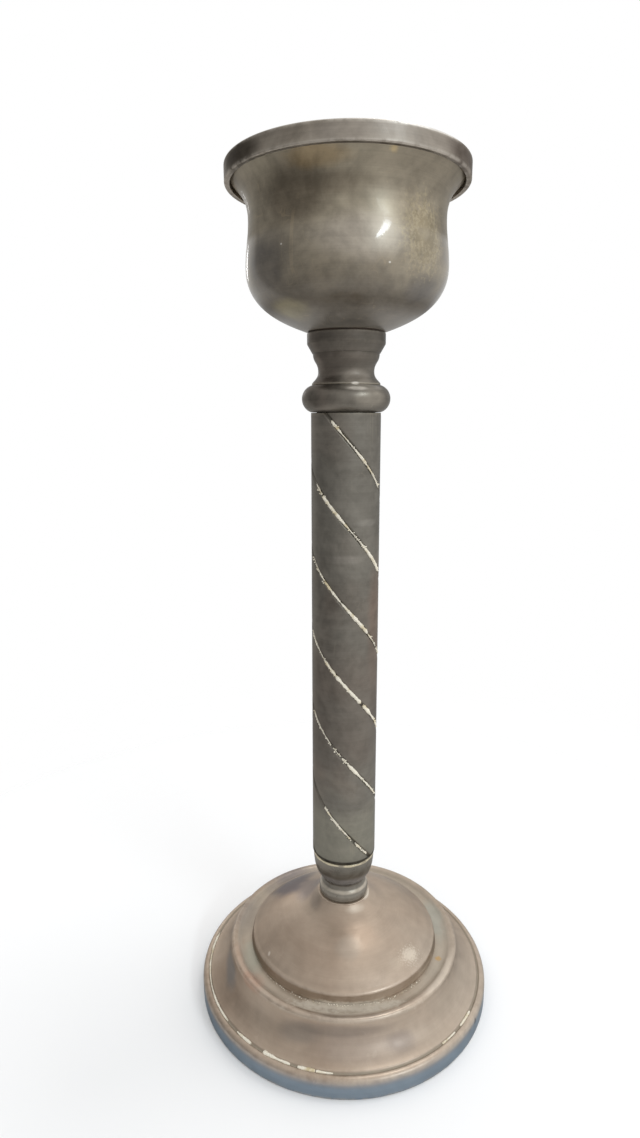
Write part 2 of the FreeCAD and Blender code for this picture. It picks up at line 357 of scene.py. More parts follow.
class Sheet:
    """A node tree with short calls that place and link its nodes."""

    def __init__(self, tree: Tree) -> None:
        """Take a tree to work on."""
        self.tree = tree

    def feed(self, socket: Socket, value: Any) -> None:
        """Link a wire to an input, or set the input to a plain value.

        Args:
            socket: the input.
            value: the wire or the value.
        """
        if isinstance(value, Wire):
            self.tree.links.new(value.socket, socket)
        else:
            socket.default_value = value

    def add(self, kind: str, inputs: dict | None = None, **settings: Any) -> bpy.types.Node:
        """Place a node.

        Args:
            kind: the node's type.
            inputs: a value or a wire for each input, by name or number.
            settings: the node's own properties.

        Returns:
            The node.
        """
        node = self.tree.nodes.new(kind)
        for name, value in settings.items():
            setattr(node, name, value)
        for key, value in (inputs or {}).items():
            self.feed(node.inputs[key], value)
        return node

    def make(self, kind: str, inputs: dict | None = None, output: Any = 0, **settings: Any) -> Wire:
        """Place a node and give the wire of one of its outputs."""
        return Wire(self, self.add(kind, inputs, **settings).outputs[output])

    def math(self, operation: str, *values: Any, clamp: bool = False) -> Wire:
        """Work out a number from one to three values."""
        inputs = dict(enumerate(values))
        return self.make("ShaderNodeMath", inputs, operation=operation, use_clamp=clamp)

    def vector(self, operation: str, *values: Any, output: int = 0) -> Wire:
        """Work out a vector, or a number at output 1, from vectors."""
        inputs = dict(enumerate(values))
        return self.make("ShaderNodeVectorMath", inputs, output, operation=operation)

    def length(self, vector: Any) -> Wire:
        """Measure a vector."""
        return self.vector("LENGTH", vector, output=1)

    def scaled(self, vector: Any, share: Any) -> Wire:
        """Make a vector longer or shorter."""
        return self.make("ShaderNodeVectorMath", {0: vector, "Scale": share}, operation="SCALE")

    def split(self, vector: Any) -> list[Wire]:
        """Take a vector apart into X, Y and Z."""
        return [Wire(self, part) for part in self.add("ShaderNodeSeparateXYZ", {0: vector}).outputs]

    def join(self, x: Any, y: Any, z: Any) -> Wire:
        """Put a vector together."""
        return self.make("ShaderNodeCombineXYZ", {0: x, 1: y, 2: z})

    def noise(self, vector: Any, scale: Any, detail: float = 3.0, rough: float = 0.55) -> Wire:
        """Place a cloud of noise and give its value."""
        inputs = {"Vector": vector, "Scale": scale, "Detail": detail, "Roughness": rough}
        return self.make("ShaderNodeTexNoise", inputs)

    def stir(self, vector: Any, scale: Any, amount: Any) -> Wire:
        """Give a cloud of small shifts in all directions.

        Args:
            vector: the place.
            scale: the scale of the cloud.
            amount: how far the shifts reach.

        Returns:
            The shift.
        """
        inputs = {"Vector": vector, "Scale": scale, "Detail": 1.0}
        cloud = self.make("ShaderNodeTexNoise", inputs, "Color")
        return self.scaled(self.vector("SUBTRACT", cloud, (0.5, 0.5, 0.5)), amount)

    def step(self, value: Any, low: Any, high: Any, first: Any = 0.0, last: Any = 1.0) -> Wire:
        """Go smoothly from first, at low, to last, at high."""
        inputs = dict(zip(STEP_INPUTS, (value, low, high, first, last)))
        return self.make("ShaderNodeMapRange", inputs, interpolation_type="SMOOTHSTEP")

    def swing(self, value: Any, span: Point, share: float) -> Wire:
        """Go smoothly from as much below 1, at the span's start, to as much above it."""
        return self.step(value, *span, 1 - share, 1 + share)

    def blend(self, share: Any, first: Any, second: Any) -> Wire:
        """Mix two colours."""
        return self.make("ShaderNodeMix", {0: share, 6: first, 7: second}, 2, data_type="RGBA")

    def bump(self, height: Any, strength: float, depth: float) -> Wire:
        """Raise and sink the surface by a depth in millimetres."""
        inputs = {"Strength": strength, "Distance": depth * MM, "Height": height}
        return self.make("ShaderNodeBump", inputs)

    def carried(self, name: str) -> Wire:
        """Read a value that the points of a mesh carry."""
        return self.make("GeometryNodeInputNamedAttribute", {"Name": name}, data_type="FLOAT")

    def moved(self, mesh: Any, **way: Any) -> Wire:
        """Move the points of a mesh by an Offset or to a Position."""
        return self.make("GeometryNodeSetPosition", {"Geometry": mesh, **way})

    def group(self, tree: Tree, **inputs: Any) -> Wires:
        """Place a shared group.

        Args:
            tree: the group.
            inputs: a value or a wire for each input, by its name in small letters.

        Returns:
            The group's outputs by name.
        """
        named = {name.replace("_", " ").title(): value for name, value in inputs.items()}
        placed = self.add("ShaderNodeGroup", named, node_tree=tree)
        return {socket.name: Wire(self, socket) for socket in placed.outputs}


def open_group(
    name: str, kind: str, ins: dict[str, str], outs: dict[str, str]
) -> tuple[Sheet, Wires, Any]:
    """Start a node group with named sockets.

    Args:
        name: the group's name.
        kind: the tree's type.
        ins: each input's name and socket type.
        outs: each output's name and socket type.

    Returns:
        The sheet, the wires that bring values in and the sockets that take them out.
    """
    tree = bpy.data.node_groups.new(name, kind)
    for way, sockets in (("INPUT", ins), ("OUTPUT", outs)):
        for label, socket in sockets.items():
            tree.interface.new_socket(label, in_out=way, socket_type=socket)
    sheet = Sheet(tree)
    placed = sheet.add("NodeGroupInput").outputs
    source = {label: Wire(sheet, placed[label]) for label in ins}
    return sheet, source, sheet.add("NodeGroupOutput").inputs


def close_mesh(sheet: Sheet, mesh: Wire, material: Wire, sink: Socket) -> None:
    """End a mesh tree in smooth, real faces with their material.

    Args:
        sheet: the tree's sheet.
        mesh: the finished shape.
        material: the wire that brings the material.
        sink: the tree's output.
    """
    mesh = sheet.make("GeometryNodeSetShadeSmooth", {"Geometry": mesh})
    mesh = sheet.make("GeometryNodeRealizeInstances", {"Geometry": mesh})
    mesh = sheet.make("GeometryNodeSetMaterial", {"Geometry": mesh, "Material": material})
    sheet.feed(sink, mesh)


@cache
def turning_tree() -> Tree:
    """Build the lathe, which turns a section about the axis and cuts grooves and a thread.

    Returns:
        The tree. A section's points carry wear and grime, and the turned mesh keeps them.
    """
    numbers = (
        *("Twist", "Phase", "Groove Starts", "Groove Half Arc", "Groove Depth"),
        *("Thread Pitch", "Thread Depth", "Thread Top", "Outer Radius", "Drift"),
    )
    ins = {"Section": GEOMETRY, "Closed": WHOLE, "Segments": WHOLE, "Material": MATERIAL}
    ins |= dict.fromkeys(numbers, FLOAT)
    sheet, source, sink = open_group("turning", MESH_TREE, ins, {"Mesh": GEOMETRY})
    section, outer, starts = source["Section"], source["Outer Radius"], source["Groove Starts"]
    count = sheet.make("GeometryNodeAttributeDomainSize", {0: section}, "Point Count")
    rows, columns = count + source["Closed"], source["Segments"] + 1
    sizes = {"Size X": 1.0, "Size Y": 1.0, "Vertices X": rows, "Vertices Y": columns}
    mesh = sheet.make("GeometryNodeMeshGrid", sizes, "Mesh")
    here = sheet.make("GeometryNodeInputPosition")
    place = sheet.split(here)
    row = sheet.math("ROUND", (place[0] + 0.5) * (rows - 1))
    row = sheet.math("MODULO", row, count)
    angle = (place[1] + 0.5) * math.tau

    def of_section(value: Wire, kind: str) -> Wire:
        """Read a value at the section's point of this row."""
        inputs = {"Geometry": section, "Value": value, "Index": row}
        return sheet.make("GeometryNodeSampleIndex", inputs, data_type=kind, domain="POINT")

    radius, _, height = sheet.split(of_section(here, "FLOAT_VECTOR"))
    cell = sheet.math("FRACT", angle * starts / math.tau + 0.5) - 0.5
    arc = sheet.math("ABSOLUTE", cell) * math.tau / starts * outer / source["Groove Half Arc"]
    notch = sheet.math("SUBTRACT", 1.0, arc, clamp=True)
    notch = notch * sheet.math("GREATER_THAN", source["Groove Depth"], 0.0)
    turn = height * source["Twist"] + source["Phase"] + angle
    ridge = sheet.math("FRACT", height / source["Thread Pitch"] - turn / math.tau)
    ridge = sheet.math("ABSOLUTE", ridge * 2.0 - 1.0)
    ridge = ridge * sheet.math("LESS_THAN", height, source["Thread Top"])
    cut = notch * source["Groove Depth"] + ridge * source["Thread Depth"]
    radius = sheet.math("MINIMUM", radius, outer - cut)
    across, aside = sheet.math("COSINE", turn), sheet.math("SINE", turn)
    around, lobes = sheet.join(across, aside, height), 1.6
    drift = sheet.noise(around, lobes, detail=1.0) * source["Drift"]
    radius = radius * (1.0 - drift)
    for label in ("wear", "grime"):
        value = of_section(sheet.carried(label), "FLOAT")
        if label == "grime":
            value = sheet.math("MAXIMUM", value, notch)
        inputs = {"Geometry": mesh, "Name": label, "Value": value}
        kinds = {"data_type": "FLOAT", "domain": "POINT"}
        mesh = sheet.make("GeometryNodeStoreNamedAttribute", inputs, **kinds)
    mesh = sheet.moved(mesh, Position=sheet.join(radius * across, radius * aside, height))
    inputs = {"Geometry": mesh, "Distance": WELD}
    mesh = sheet.make("GeometryNodeMergeByDistance", inputs)
    close_mesh(sheet, mesh, source["Material"], sink["Mesh"])
    return sheet.tree


@cache
def residue_tree() -> Tree:
    """Build what lays a broken, uneven ridge of dried polish along a path.

    Returns:
        The tree. The path's points carry their thickness.
    """
    ins = {"Path": GEOMETRY, "Material": MATERIAL}
    ins |= dict.fromkeys(("Seed", "Gaps", "Thinnest", "Roughen"), FLOAT)
    sheet, source, sink = open_group("dried_residue", MESH_TREE, ins, {"Mesh": GEOMETRY})
    seed = source["Seed"]
    here = sheet.make("GeometryNodeInputPosition")
    here = sheet.vector("ADD", here, sheet.join(seed, seed, seed))
    gap = sheet.math("LESS_THAN", sheet.noise(here, GAPS, detail=2.0), source["Gaps"])
    inputs = {"Geometry": source["Path"], "Selection": gap}
    path = sheet.make("GeometryNodeDeleteGeometry", inputs, domain="POINT")
    path = sheet.make("GeometryNodeMeshToCurve", {"Mesh": path})
    ridges, swells = sheet.noise(here, RIDGES, detail=3.0), sheet.noise(here, SWELLS, detail=1.0)
    uneven = sheet.step(ridges, *SOFT, source["Thinnest"], THICKEST)
    swell = sheet.step(swells, *SWELL_SPAN, *SWELL_SIZES)
    radius = sheet.carried("thick") * uneven * swell
    ring = sheet.make("GeometryNodeCurvePrimitiveCircle", {"Resolution": 8, "Radius": 1.0})
    inputs = {"Curve": path, "Profile Curve": ring, "Scale": radius, "Fill Caps": True}
    mesh = sheet.make("GeometryNodeCurveToMesh", inputs)
    mesh = sheet.moved(mesh, Offset=sheet.stir(here, CHALK, source["Roughen"]))
    close_mesh(sheet, mesh, source["Material"], sink["Mesh"])
    return sheet.tree


@cache
def crumb_tree() -> Tree:
    """Build what strews small crumbs along a path.

    Returns:
        The tree.
    """
    ins = {"Path": GEOMETRY, "Seed": WHOLE, "Count": WHOLE, "Stray": VECTOR}
    ins |= {"Smallest": FLOAT, "Largest": FLOAT, "Material": MATERIAL}
    sheet, source, sink = open_group("crumbs", MESH_TREE, ins, {"Mesh": GEOMETRY})
    path = sheet.make("GeometryNodeMeshToCurve", {"Mesh": source["Path"]})
    inputs = {"Curve": path, "Count": source["Count"]}
    points = sheet.make("GeometryNodeCurveToPoints", inputs)
    here = sheet.make("GeometryNodeInputPosition")
    number = sheet.make("GeometryNodeInputIndex")
    spread = sheet.join(number * CRUMB_STRIDE, source["Seed"] + CRUMB_START, 0.5)
    shift = sheet.vector("MULTIPLY", sheet.stir(spread, scale=3.0, amount=2.0), source["Stray"])
    points = sheet.moved(points, Offset=shift)
    sizes = (source["Smallest"], source["Largest"])
    size = sheet.step(sheet.noise(spread, scale=7.0, detail=0.0), *WIDE, *sizes)
    crumb = sheet.make("GeometryNodeMeshIcoSphere", {"Radius": 1.0, "Subdivisions": 1})
    scale = sheet.join(size, size, size * CRUMB_FLAT)
    inputs = {"Points": points, "Instance": crumb, "Scale": scale}
    mesh = sheet.make("GeometryNodeInstanceOnPoints", inputs)
    mesh = sheet.make("GeometryNodeRealizeInstances", {"Geometry": mesh})
    mesh = sheet.moved(mesh, Offset=sheet.stir(here, LUMPS, CRUMB_PUCKER))
    close_mesh(sheet, mesh, source["Material"], sink["Mesh"])
    return sheet.tree


def blunt(step: int, count: int) -> float:
    """Give the thickness of a run at a step, full along it and round at its ends."""
    return math.sqrt(min(1.0, 4 * math.sin(math.pi * (step + 0.5) / (count + 1))))


def grow(name: str, seed_mesh: Mesh, tree: Tree, values: dict[str, Any]) -> Thing:
    """Run a mesh through a tree and keep the plain mesh that comes out.

    Args:
        name: the new piece's name.
        seed_mesh: the mesh that goes in.
        tree: the tree that makes the piece.
        values: the tree's inputs by name.

    Returns:
        The piece, with no modifier left on it.
    """
    piece = bpy.data.objects.new(name, seed_mesh)
    bpy.context.scene.collection.objects.link(piece)
    modifier = piece.modifiers.new("make", "NODES")
    modifier.node_group = tree
    for item in tree.interface.items_tree:
        if item.item_type == "SOCKET" and item.in_out == "INPUT" and item.name in values:
            modifier[item.identifier] = values[item.name]
    depsgraph = bpy.context.evaluated_depsgraph_get()
    mesh = bpy.data.meshes.new_from_object(piece.evaluated_get(depsgraph), depsgraph=depsgraph)
    piece.modifiers.remove(modifier)
    piece.data = mesh
    bpy.data.meshes.remove(seed_mesh)
    mesh.name = name
    mesh.materials.clear()
    mesh.materials.append(values["Material"])
    mesh.polygons.foreach_set("material_index", [0] * len(mesh.polygons))
    shape = bmesh.new()
    shape.from_mesh(mesh)
    bmesh.ops.dissolve_degenerate(shape, dist=TINY, edges=shape.edges)
    bmesh.ops.recalc_face_normals(shape, faces=shape.faces)
    shape.to_mesh(mesh)
    shape.free()
    return piece


def marked_mesh(
    name: str, runs: Sequence[Sequence[Vector]], marks: dict[str, Sequence[float]]
) -> Mesh:
    """Make a mesh of lines whose points carry values.

    Args:
        name: the mesh's name.
        runs: the lines, each a row of points in metres.
        marks: values for all the points in order, by name.

    Returns:
        The mesh.
    """
    mesh = bpy.data.meshes.new(name)
    points, edges = [], []
    for run in runs:
        first = len(points)
        points.extend(run)
        edges.extend((first + step, first + step + 1) for step in range(len(run) - 1))
    mesh.from_pydata(points, edges, [])
    for label, values in marks.items():
        mesh.attributes.new(label, "FLOAT", "POINT").data.foreach_set("value", list(values))
    return mesh


# Finishes


def linear(colour: Colour) -> tuple[float, float, float, float]:
    """Turn a screen colour of 0 to 255 into the linear colour that a shader takes.

    Args:
        colour: red, green and blue as seen on a screen.

    Returns:
        The linear colour with full opacity.
    """
    shares = [value / 255 for value in colour]
    parts = [s / 12.92 if s <= 0.04045 else ((s + 0.055) / 1.055) ** 2.4 for s in shares]
    return parts[0], parts[1], parts[2], 1.0


@cache
def tarnish_group() -> Tree:
    """Build the clouds of tarnish: broad drifts, fine mottling and a tint of its own.

    Returns:
        The shared group.
    """
    ins, outs = {"Vector": VECTOR, "Scale": FLOAT}, ("Broad", "Fine", "Tint")
    sheet, source, sink = open_group(
        "tarnish_clouds", SHADER_TREE, ins, dict.fromkeys(outs, FLOAT)
    )
    vector, scale = source["Vector"], source["Scale"]
    finer, larger, elsewhere = 9.0, 0.8, (0.31, 0.17, 0.53)
    bent = sheet.vector("ADD", vector, sheet.stir(vector, scale, amount=0.02))
    apart = sheet.vector("ADD", bent, elsewhere)
    sheet.feed(sink["Broad"], sheet.noise(bent, scale, detail=5.0, rough=0.5))
    sheet.feed(sink["Fine"], sheet.noise(bent, scale * finer, detail=6.0, rough=0.62))
    sheet.feed(sink["Tint"], sheet.noise(apart, scale * larger, detail=4.0, rough=0.5))
    return sheet.tree


@cache
def turning_marks_group() -> Tree:
    """Build the fine lines that a spinning tool leaves round the axis.

    Returns:
        The shared group.
    """
    ins, outs = {"Vector": VECTOR, "Lines Per Metre": FLOAT}, {"Lines": FLOAT, "Bands": FLOAT}
    sheet, source, sink = open_group("turning_marks", SHADER_TREE, ins, outs)
    where, density = source["Vector"], source["Lines Per Metre"]
    x, y, z = sheet.split(where)
    radius = sheet.length(sheet.vector("MULTIPLY", where, FLAT))
    slowly = 0.45
    angle = sheet.math("ARCTAN2", y, x) * slowly
    track = sheet.join(radius * density, z * density, angle)
    for name, scale in (("Lines", 1.0), ("Bands", 0.16)):
        sheet.feed(sink[name], sheet.noise(track, scale, detail=2.0, rough=0.6))
    return sheet.tree


@cache
def edges_group() -> Tree:
    """Build the rubbed edges and the dirty corners from the marks that a piece carries.

    Returns:
        The shared group.
    """
    outs = {"Wear": FLOAT, "Grime": FLOAT}
    sheet, source, sink = open_group("edge_wear", SHADER_TREE, {"Vector": VECTOR, **outs}, outs)
    for name, scale, *span in (("Wear", 420.0, 0.28, 0.62), ("Grime", 260.0, 0.2, 0.6)):
        mark = sheet.make("ShaderNodeAttribute", output="Fac", attribute_name=name.lower())
        broken = sheet.step(sheet.noise(source["Vector"], scale, detail=3.0), *span)
        share = sheet.math("MULTIPLY", mark * broken, source[name], clamp=True)
        sheet.feed(sink[name], share)
    return sheet.tree


@cache
def patch_group(ring: bool) -> Tree:
    """Build one ragged patch: a spot at a place on the metal, or a ring round the axis.

    Args:
        ring: whether it is a ring.

    Returns:
        The shared group.
    """
    ins = dict.fromkeys(("Vector", "Centre", "Reach"), VECTOR) | {"Ragged": FLOAT, "Grain": FLOAT}
    name = "ring" if ring else "spot"
    sheet, source, sink = open_group(name, SHADER_TREE, ins, {"Mask": FLOAT})
    where = place = source["Vector"]
    if ring:
        radius = sheet.length(sheet.vector("MULTIPLY", where, FLAT))
        place = sheet.join(radius, 0.0, sheet.split(where)[2])
    away = sheet.vector("SUBTRACT", place, source["Centre"])
    away = sheet.length(sheet.vector("DIVIDE", away, source["Reach"]))
    grain = sheet.noise(where, source["Grain"], detail=4.0, rough=0.6)
    rough = (grain - 0.5) * source["Ragged"]
    core, edge = 0.35, 1.0
    sheet.feed(sink["Mask"], sheet.step(away + rough, core, edge, 1.0, 0.0))
    return sheet.tree


@cache
def hairline_group() -> Tree:
    """Build sparse, fine wiping marks in two directions.

    Returns:
        The shared group.
    """
    ins, outs = {"Vector": VECTOR, "Scale": FLOAT}, {"Mask": FLOAT}
    sheet, source, sink = open_group("hairlines", SHADER_TREE, ins, outs)
    where, masks = source["Vector"], []
    wipes = (((0.4, 0.3, 0.9), (1.0, 0.03, 1.0)), ((1.1, 0.7, 0.2), (1.0, 1.0, 0.025)))
    thin, patchy, shown = 0.008, 75.0, (0.52, 0.66)
    for turn, stretch in wipes:
        inputs = {"Vector": where, "Rotation": turn, "Scale": stretch}
        turned = sheet.make("ShaderNodeMapping", inputs)
        level = sheet.math("ABSOLUTE", sheet.noise(turned, source["Scale"], detail=1.0) - 0.5)
        sparse = sheet.step(sheet.noise(where, patchy, detail=2.0), *shown)
        masks.append(sheet.step(level, 0.0, thin, 1.0, 0.0) * sparse)
    sheet.feed(sink["Mask"], sheet.math("MAXIMUM", *masks))
    return sheet.tree


@dataclass(frozen=True)
class Patch:
    """A patch of another colour, in millimetres, for stains and for painted light, shade and
    reflections.

    It is a spot at X, Y and Z, or a ring at a radius and Z. Its film is the share of the metal's
    mirroring that it takes away.
    """

    at: tuple[float, ...]
    reach: tuple[float, ...]
    colour: Colour
    strength: float
    ragged: float = 0.6
    grain: float = 120.0
    film: float = 0.0

    def mask(self, sheet: Sheet, where: Wire) -> Wire:
        """Place the patch in a material.

        Args:
            sheet: the material's sheet.
            where: the place on the metal.

        Returns:
            How much of the patch shows.
        """
        at, reach, ring = self.at, self.reach, len(self.at) == 2
        if ring:
            at, reach = (at[0], 0.0, at[1]), (reach[0], 1.0, reach[1])
        placed = sheet.group(
            patch_group(ring),
            vector=where,
            centre=[part * MM for part in at],
            reach=[part * MM for part in reach],
            ragged=self.ragged,
            grain=self.grain,
        )
        return placed["Mask"] * self.strength


@dataclass(frozen=True)
class Finish(ABC):
    """A finish, which paints the material of its name."""

    name: str

    @abstractmethod
    def paint(self, sheet: Sheet, where: Wire) -> Looks:
        """Work out the looks.

        Args:
            sheet: the material's sheet.
            where: the place on the piece.

        Returns:
            What each input of the shader gets.
        """

    def material(self) -> Material:
        """Make the material.

        Returns:
            The material with all its nodes.
        """
        material = bpy.data.materials.new(self.name)
        material.use_nodes = True
        sheet = Sheet(material.node_tree)
        shader = material.node_tree.nodes["Principled BSDF"]
        where = sheet.make("ShaderNodeTexCoord", output="Object")
        for name, value in self.paint(sheet, where).items():
            sheet.feed(shader.inputs[name], value)
        return material


@dataclass(frozen=True)
class AgedBrass(Finish):
    """Turned brass under a dull patina, with rubbed edges, dirt in its corners, and patches of
    stain and of painted light, shade and reflection.
    """

    dark: Colour
    mid: Colour
    light: Colour
    tint: Colour
    mid_span: Point = (0.3, 0.56)
    light_span: Point = (0.5, 0.74)
    light_share: float = 0.8
    tint_span: Point = (0.46, 0.7)
    tint_share: float = 0.5
    worn: Colour = (214, 190, 150)
    grime_colour: Colour = (62, 58, 48)
    cloud_scale: float = 26.0
    lines_per_metre: float = 2600.0
    line_depth: float = 0.35
    line_shade: float = 0.05
    mottle: float = 0.15
    pits: float = 0.6
    hairlines: float = 0.1
    hairline_scale: float = 170.0
    hairline_depth: float = 0.3
    bump: Point = (0.5, 0.03)
    rough: Point = (0.34, 0.5)
    metallic: float = 0.85
    metal_span: Point = (0.2, 0.8)
    metal_loss: float = 0.15
    coat: float = 0.0
    coat_loss: float = 0.7
    coat_rough: float = 0.07
    coat_clouds: Point = (0.3, 0.75)
    coat_span: Point = (0.0, 1000.0)
    coat_fades: Spot = (5.0, 2.0, 1.0)
    coat_left: float = 0.1
    wear: float = 0.4
    wear_polish: float = 0.08
    grime: float = 0.6
    grime_rough: float = 0.25
    grime_film: float = 0.7
    grazing: float = 0.45
    patches: tuple[Patch, ...] = ()

    def coating(self, sheet: Sheet, where: Wire, fine: Wire) -> Wire:
        """Give the lacquer that is left between two heights.

        Args:
            sheet: the material's sheet.
            where: the place on the metal.
            fine: the fine clouds of tarnish.

        Returns:
            The weight of the coat.
        """
        coat = sheet.step(fine, *self.coat_clouds, self.coat, self.coat * self.coat_loss)
        level, (low, high) = sheet.split(where)[2] / MM, self.coat_span
        fade_in, fade_out, past = self.coat_fades
        start = sheet.step(level, low, low + fade_in)
        end = sheet.step(level, high - fade_out, high + past, 1.0, self.coat_left)
        return coat * (start * end)

    def paint(self, sheet: Sheet, where: Wire) -> Looks:
        """Lay tarnish, patches of stain and of painted light and shade, tool marks, rubbed edges
        and dirt over each other.

        Args:
            sheet: the material's sheet.
            where: the place on the metal.

        Returns:
            What each input of the shader gets.
        """
        clouds = sheet.group(tarnish_group(), vector=where, scale=self.cloud_scale)
        density = self.lines_per_metre
        marks = sheet.group(turning_marks_group(), vector=where, lines_per_metre=density)
        edges = sheet.group(edges_group(), vector=where, wear=self.wear, grime=self.grime)
        scratch = sheet.group(hairline_group(), vector=where, scale=self.hairline_scale)["Mask"]
        broad, fine, lines = clouds["Broad"], clouds["Fine"], marks["Lines"]
        wear, grime = edges["Wear"], edges["Grime"]
        dullest = self.metallic - self.metal_loss
        metal = sheet.step(fine, *self.metal_span, self.metallic, dullest)
        colour = sheet.blend(sheet.step(broad, *self.mid_span), linear(self.dark), linear(self.mid))
        layers = [(sheet.step(broad, *self.light_span) * self.light_share, self.light)]
        layers.append((sheet.step(clouds["Tint"], *self.tint_span) * self.tint_share, self.tint))
        for patch in self.patches:
            mask = patch.mask(sheet, where)
            layers.append((mask, patch.colour))
            if patch.film:
                metal = metal - mask * patch.film
        for share, layer in layers:
            colour = sheet.blend(share, colour, linear(layer))
        shade = sheet.swing(fine, WIDE, self.mottle) * sheet.swing(lines, WIDE, self.line_shade)
        colour = sheet.scaled(colour, shade * sheet.swing(marks["Bands"], SOFT, self.line_shade))
        marked = [(scratch * self.hairlines, self.worn), (wear, self.worn)]
        for share, layer in (*marked, (grime, self.grime_colour)):
            colour = sheet.blend(share, colour, linear(layer))
        rough = sheet.step(fine, *SOFT, *self.rough) + grime * self.grime_rough
        dulled = grime * (self.grime_film * self.metallic)
        height = lines * self.line_depth + fine * self.pits - scratch * self.hairline_depth
        looks = {
            "Base Color": colour,
            "Roughness": rough - wear * self.wear_polish,
            "Metallic": sheet.math("SUBTRACT", metal, dulled, clamp=True),
            "Normal": sheet.bump(height, *self.bump),
            "Specular Tint": (self.grazing, self.grazing, self.grazing, 1.0),
        }
        if self.coat:
            looks["Coat Weight"] = self.coating(sheet, where, fine)
            looks["Coat Roughness"] = self.coat_rough
        return looks


@dataclass(frozen=True)
class DriedPolish(Finish):
    """Chalky remains of metal polish."""

    pale: Colour = (236, 229, 212)
    stained: Colour = (204, 188, 150)
    cloud_scale: float = 160.0
    stain_span: Point = (0.48, 0.74)
    shade: Point = (0.86, 1.08)
    rough: Point = (0.75, 0.95)
    bump: Point = (0.8, 0.1)

    def paint(self, sheet: Sheet, where: Wire) -> Looks:
        """Stain the chalk here and there.

        Args:
            sheet: the material's sheet.
            where: the place on the piece.

        Returns:
            What each input of the shader gets.
        """
        clouds = sheet.group(tarnish_group(), vector=where, scale=self.cloud_scale)
        mix, fine = sheet.step(clouds["Broad"], *self.stain_span), clouds["Fine"]
        colour = sheet.blend(mix, linear(self.pale), linear(self.stained))
        return {
            "Base Color": sheet.scaled(colour, sheet.step(fine, *WIDE, *self.shade)),
            "Roughness": sheet.step(fine, *SOFT, *self.rough),
            "Normal": sheet.bump(fine, *self.bump),
        }


@dataclass(frozen=True)
class DullSteel(Finish):
    """Zinc-plated steel with the first rust on it."""

    plain: Colour = (150, 150, 146)
    dull: Colour = (104, 102, 98)
    rust: Colour = (118, 72, 40)
    cloud_scale: float = 60.0
    dull_span: Point = (0.35, 0.65)
    rust_span: Point = (0.58, 0.72)
    rust_share: float = 0.7
    rust_rough: float = 0.3
    metallic: Point = (0.9, 0.25)
    rough: Point = (0.38, 0.55)
    lines_per_metre: float = 4000.0
    line_depth: float = 0.4
    bump: Point = (0.5, 0.04)

    def paint(self, sheet: Sheet, where: Wire) -> Looks:
        """Dull the zinc and let rust through.

        Args:
            sheet: the material's sheet.
            where: the place on the piece.

        Returns:
            What each input of the shader gets.
        """
        clouds = sheet.group(tarnish_group(), vector=where, scale=self.cloud_scale)
        density = self.lines_per_metre
        marks = sheet.group(turning_marks_group(), vector=where, lines_per_metre=density)
        mix, fine = sheet.step(clouds["Broad"], *self.dull_span), clouds["Fine"]
        colour = sheet.blend(mix, linear(self.dull), linear(self.plain))
        rust = sheet.step(clouds["Tint"], *self.rust_span)
        return {
            "Base Color": sheet.blend(rust * self.rust_share, colour, linear(self.rust)),
            "Metallic": sheet.step(rust, 0.0, 1.0, *self.metallic),
            "Roughness": sheet.step(fine, *SOFT, *self.rough) + rust * self.rust_rough,
            "Normal": sheet.bump(marks["Lines"] * self.line_depth + fine, *self.bump),
        }


@dataclass(frozen=True)
class OldLeather(Finish):
    """A thin leather washer, dark with age."""

    dark: Colour = (46, 38, 30)
    light: Colour = (78, 62, 46)
    cloud_scale: float = 120.0
    grain_scale: float = 2600.0
    rough: Point = (0.6, 0.85)
    bump: Point = (0.6, 0.08)

    def paint(self, sheet: Sheet, where: Wire) -> Looks:
        """Give the leather its grain.

        Args:
            sheet: the material's sheet.
            where: the place on the piece.

        Returns:
            What each input of the shader gets.
        """
        clouds = sheet.group(tarnish_group(), vector=where, scale=self.cloud_scale)
        inputs = {"Vector": where, "Scale": self.grain_scale}
        grain = sheet.make("ShaderNodeTexVoronoi", inputs, "Distance")
        mix = sheet.step(clouds["Broad"], *SOFT)
        return {
            "Base Color": sheet.blend(mix, linear(self.dark), linear(self.light)),
            "Roughness": sheet.step(clouds["Fine"], *SOFT, *self.rough),
            "Normal": sheet.bump(grain, *self.bump),
        }


@dataclass(frozen=True)
class PaleFloor(Finish):
    """A pale, matt floor, in metres, that fades out."""

    colour: Colour = (250, 250, 250)
    cloud_scale: float = 3.0
    shade: Point = (0.985, 1.0)
    rough: float = 0.9
    fade: Point = (0.07, 0.34)

    def paint(self, sheet: Sheet, where: Wire) -> Looks:
        """Shade the floor a little, and let it fade.

        Args:
            sheet: the material's sheet.
            where: the place on the piece.

        Returns:
            What each input of the shader gets.
        """
        clouds = sheet.noise(where, self.cloud_scale, detail=2.0)
        shade = sheet.step(clouds, *SOFT, *self.shade)
        return {
            "Base Color": sheet.scaled(linear(self.colour)[:3], shade),
            "Roughness": self.rough,
            "Alpha": sheet.step(sheet.length(where), *self.fade, 1.0, 0.0),
        }


# Making and handing over


@dataclass(frozen=True)
class Spiral:
    """Grooves that wind left-handed round a turned piece, in millimetres."""

    starts: int
    lead: float
    width: float
    depth: float
    front_z: float

    def angle_at(self, z: float) -> float:
        """Give the angle of the first groove at a height, in radians from the +X axis."""
        return math.tau * (self.front_z - z) / self.lead - math.pi / 2


@dataclass(frozen=True)
class Thread:
    """A screw thread up to a height, in millimetres."""

    pitch: float
    depth: float
    top: float


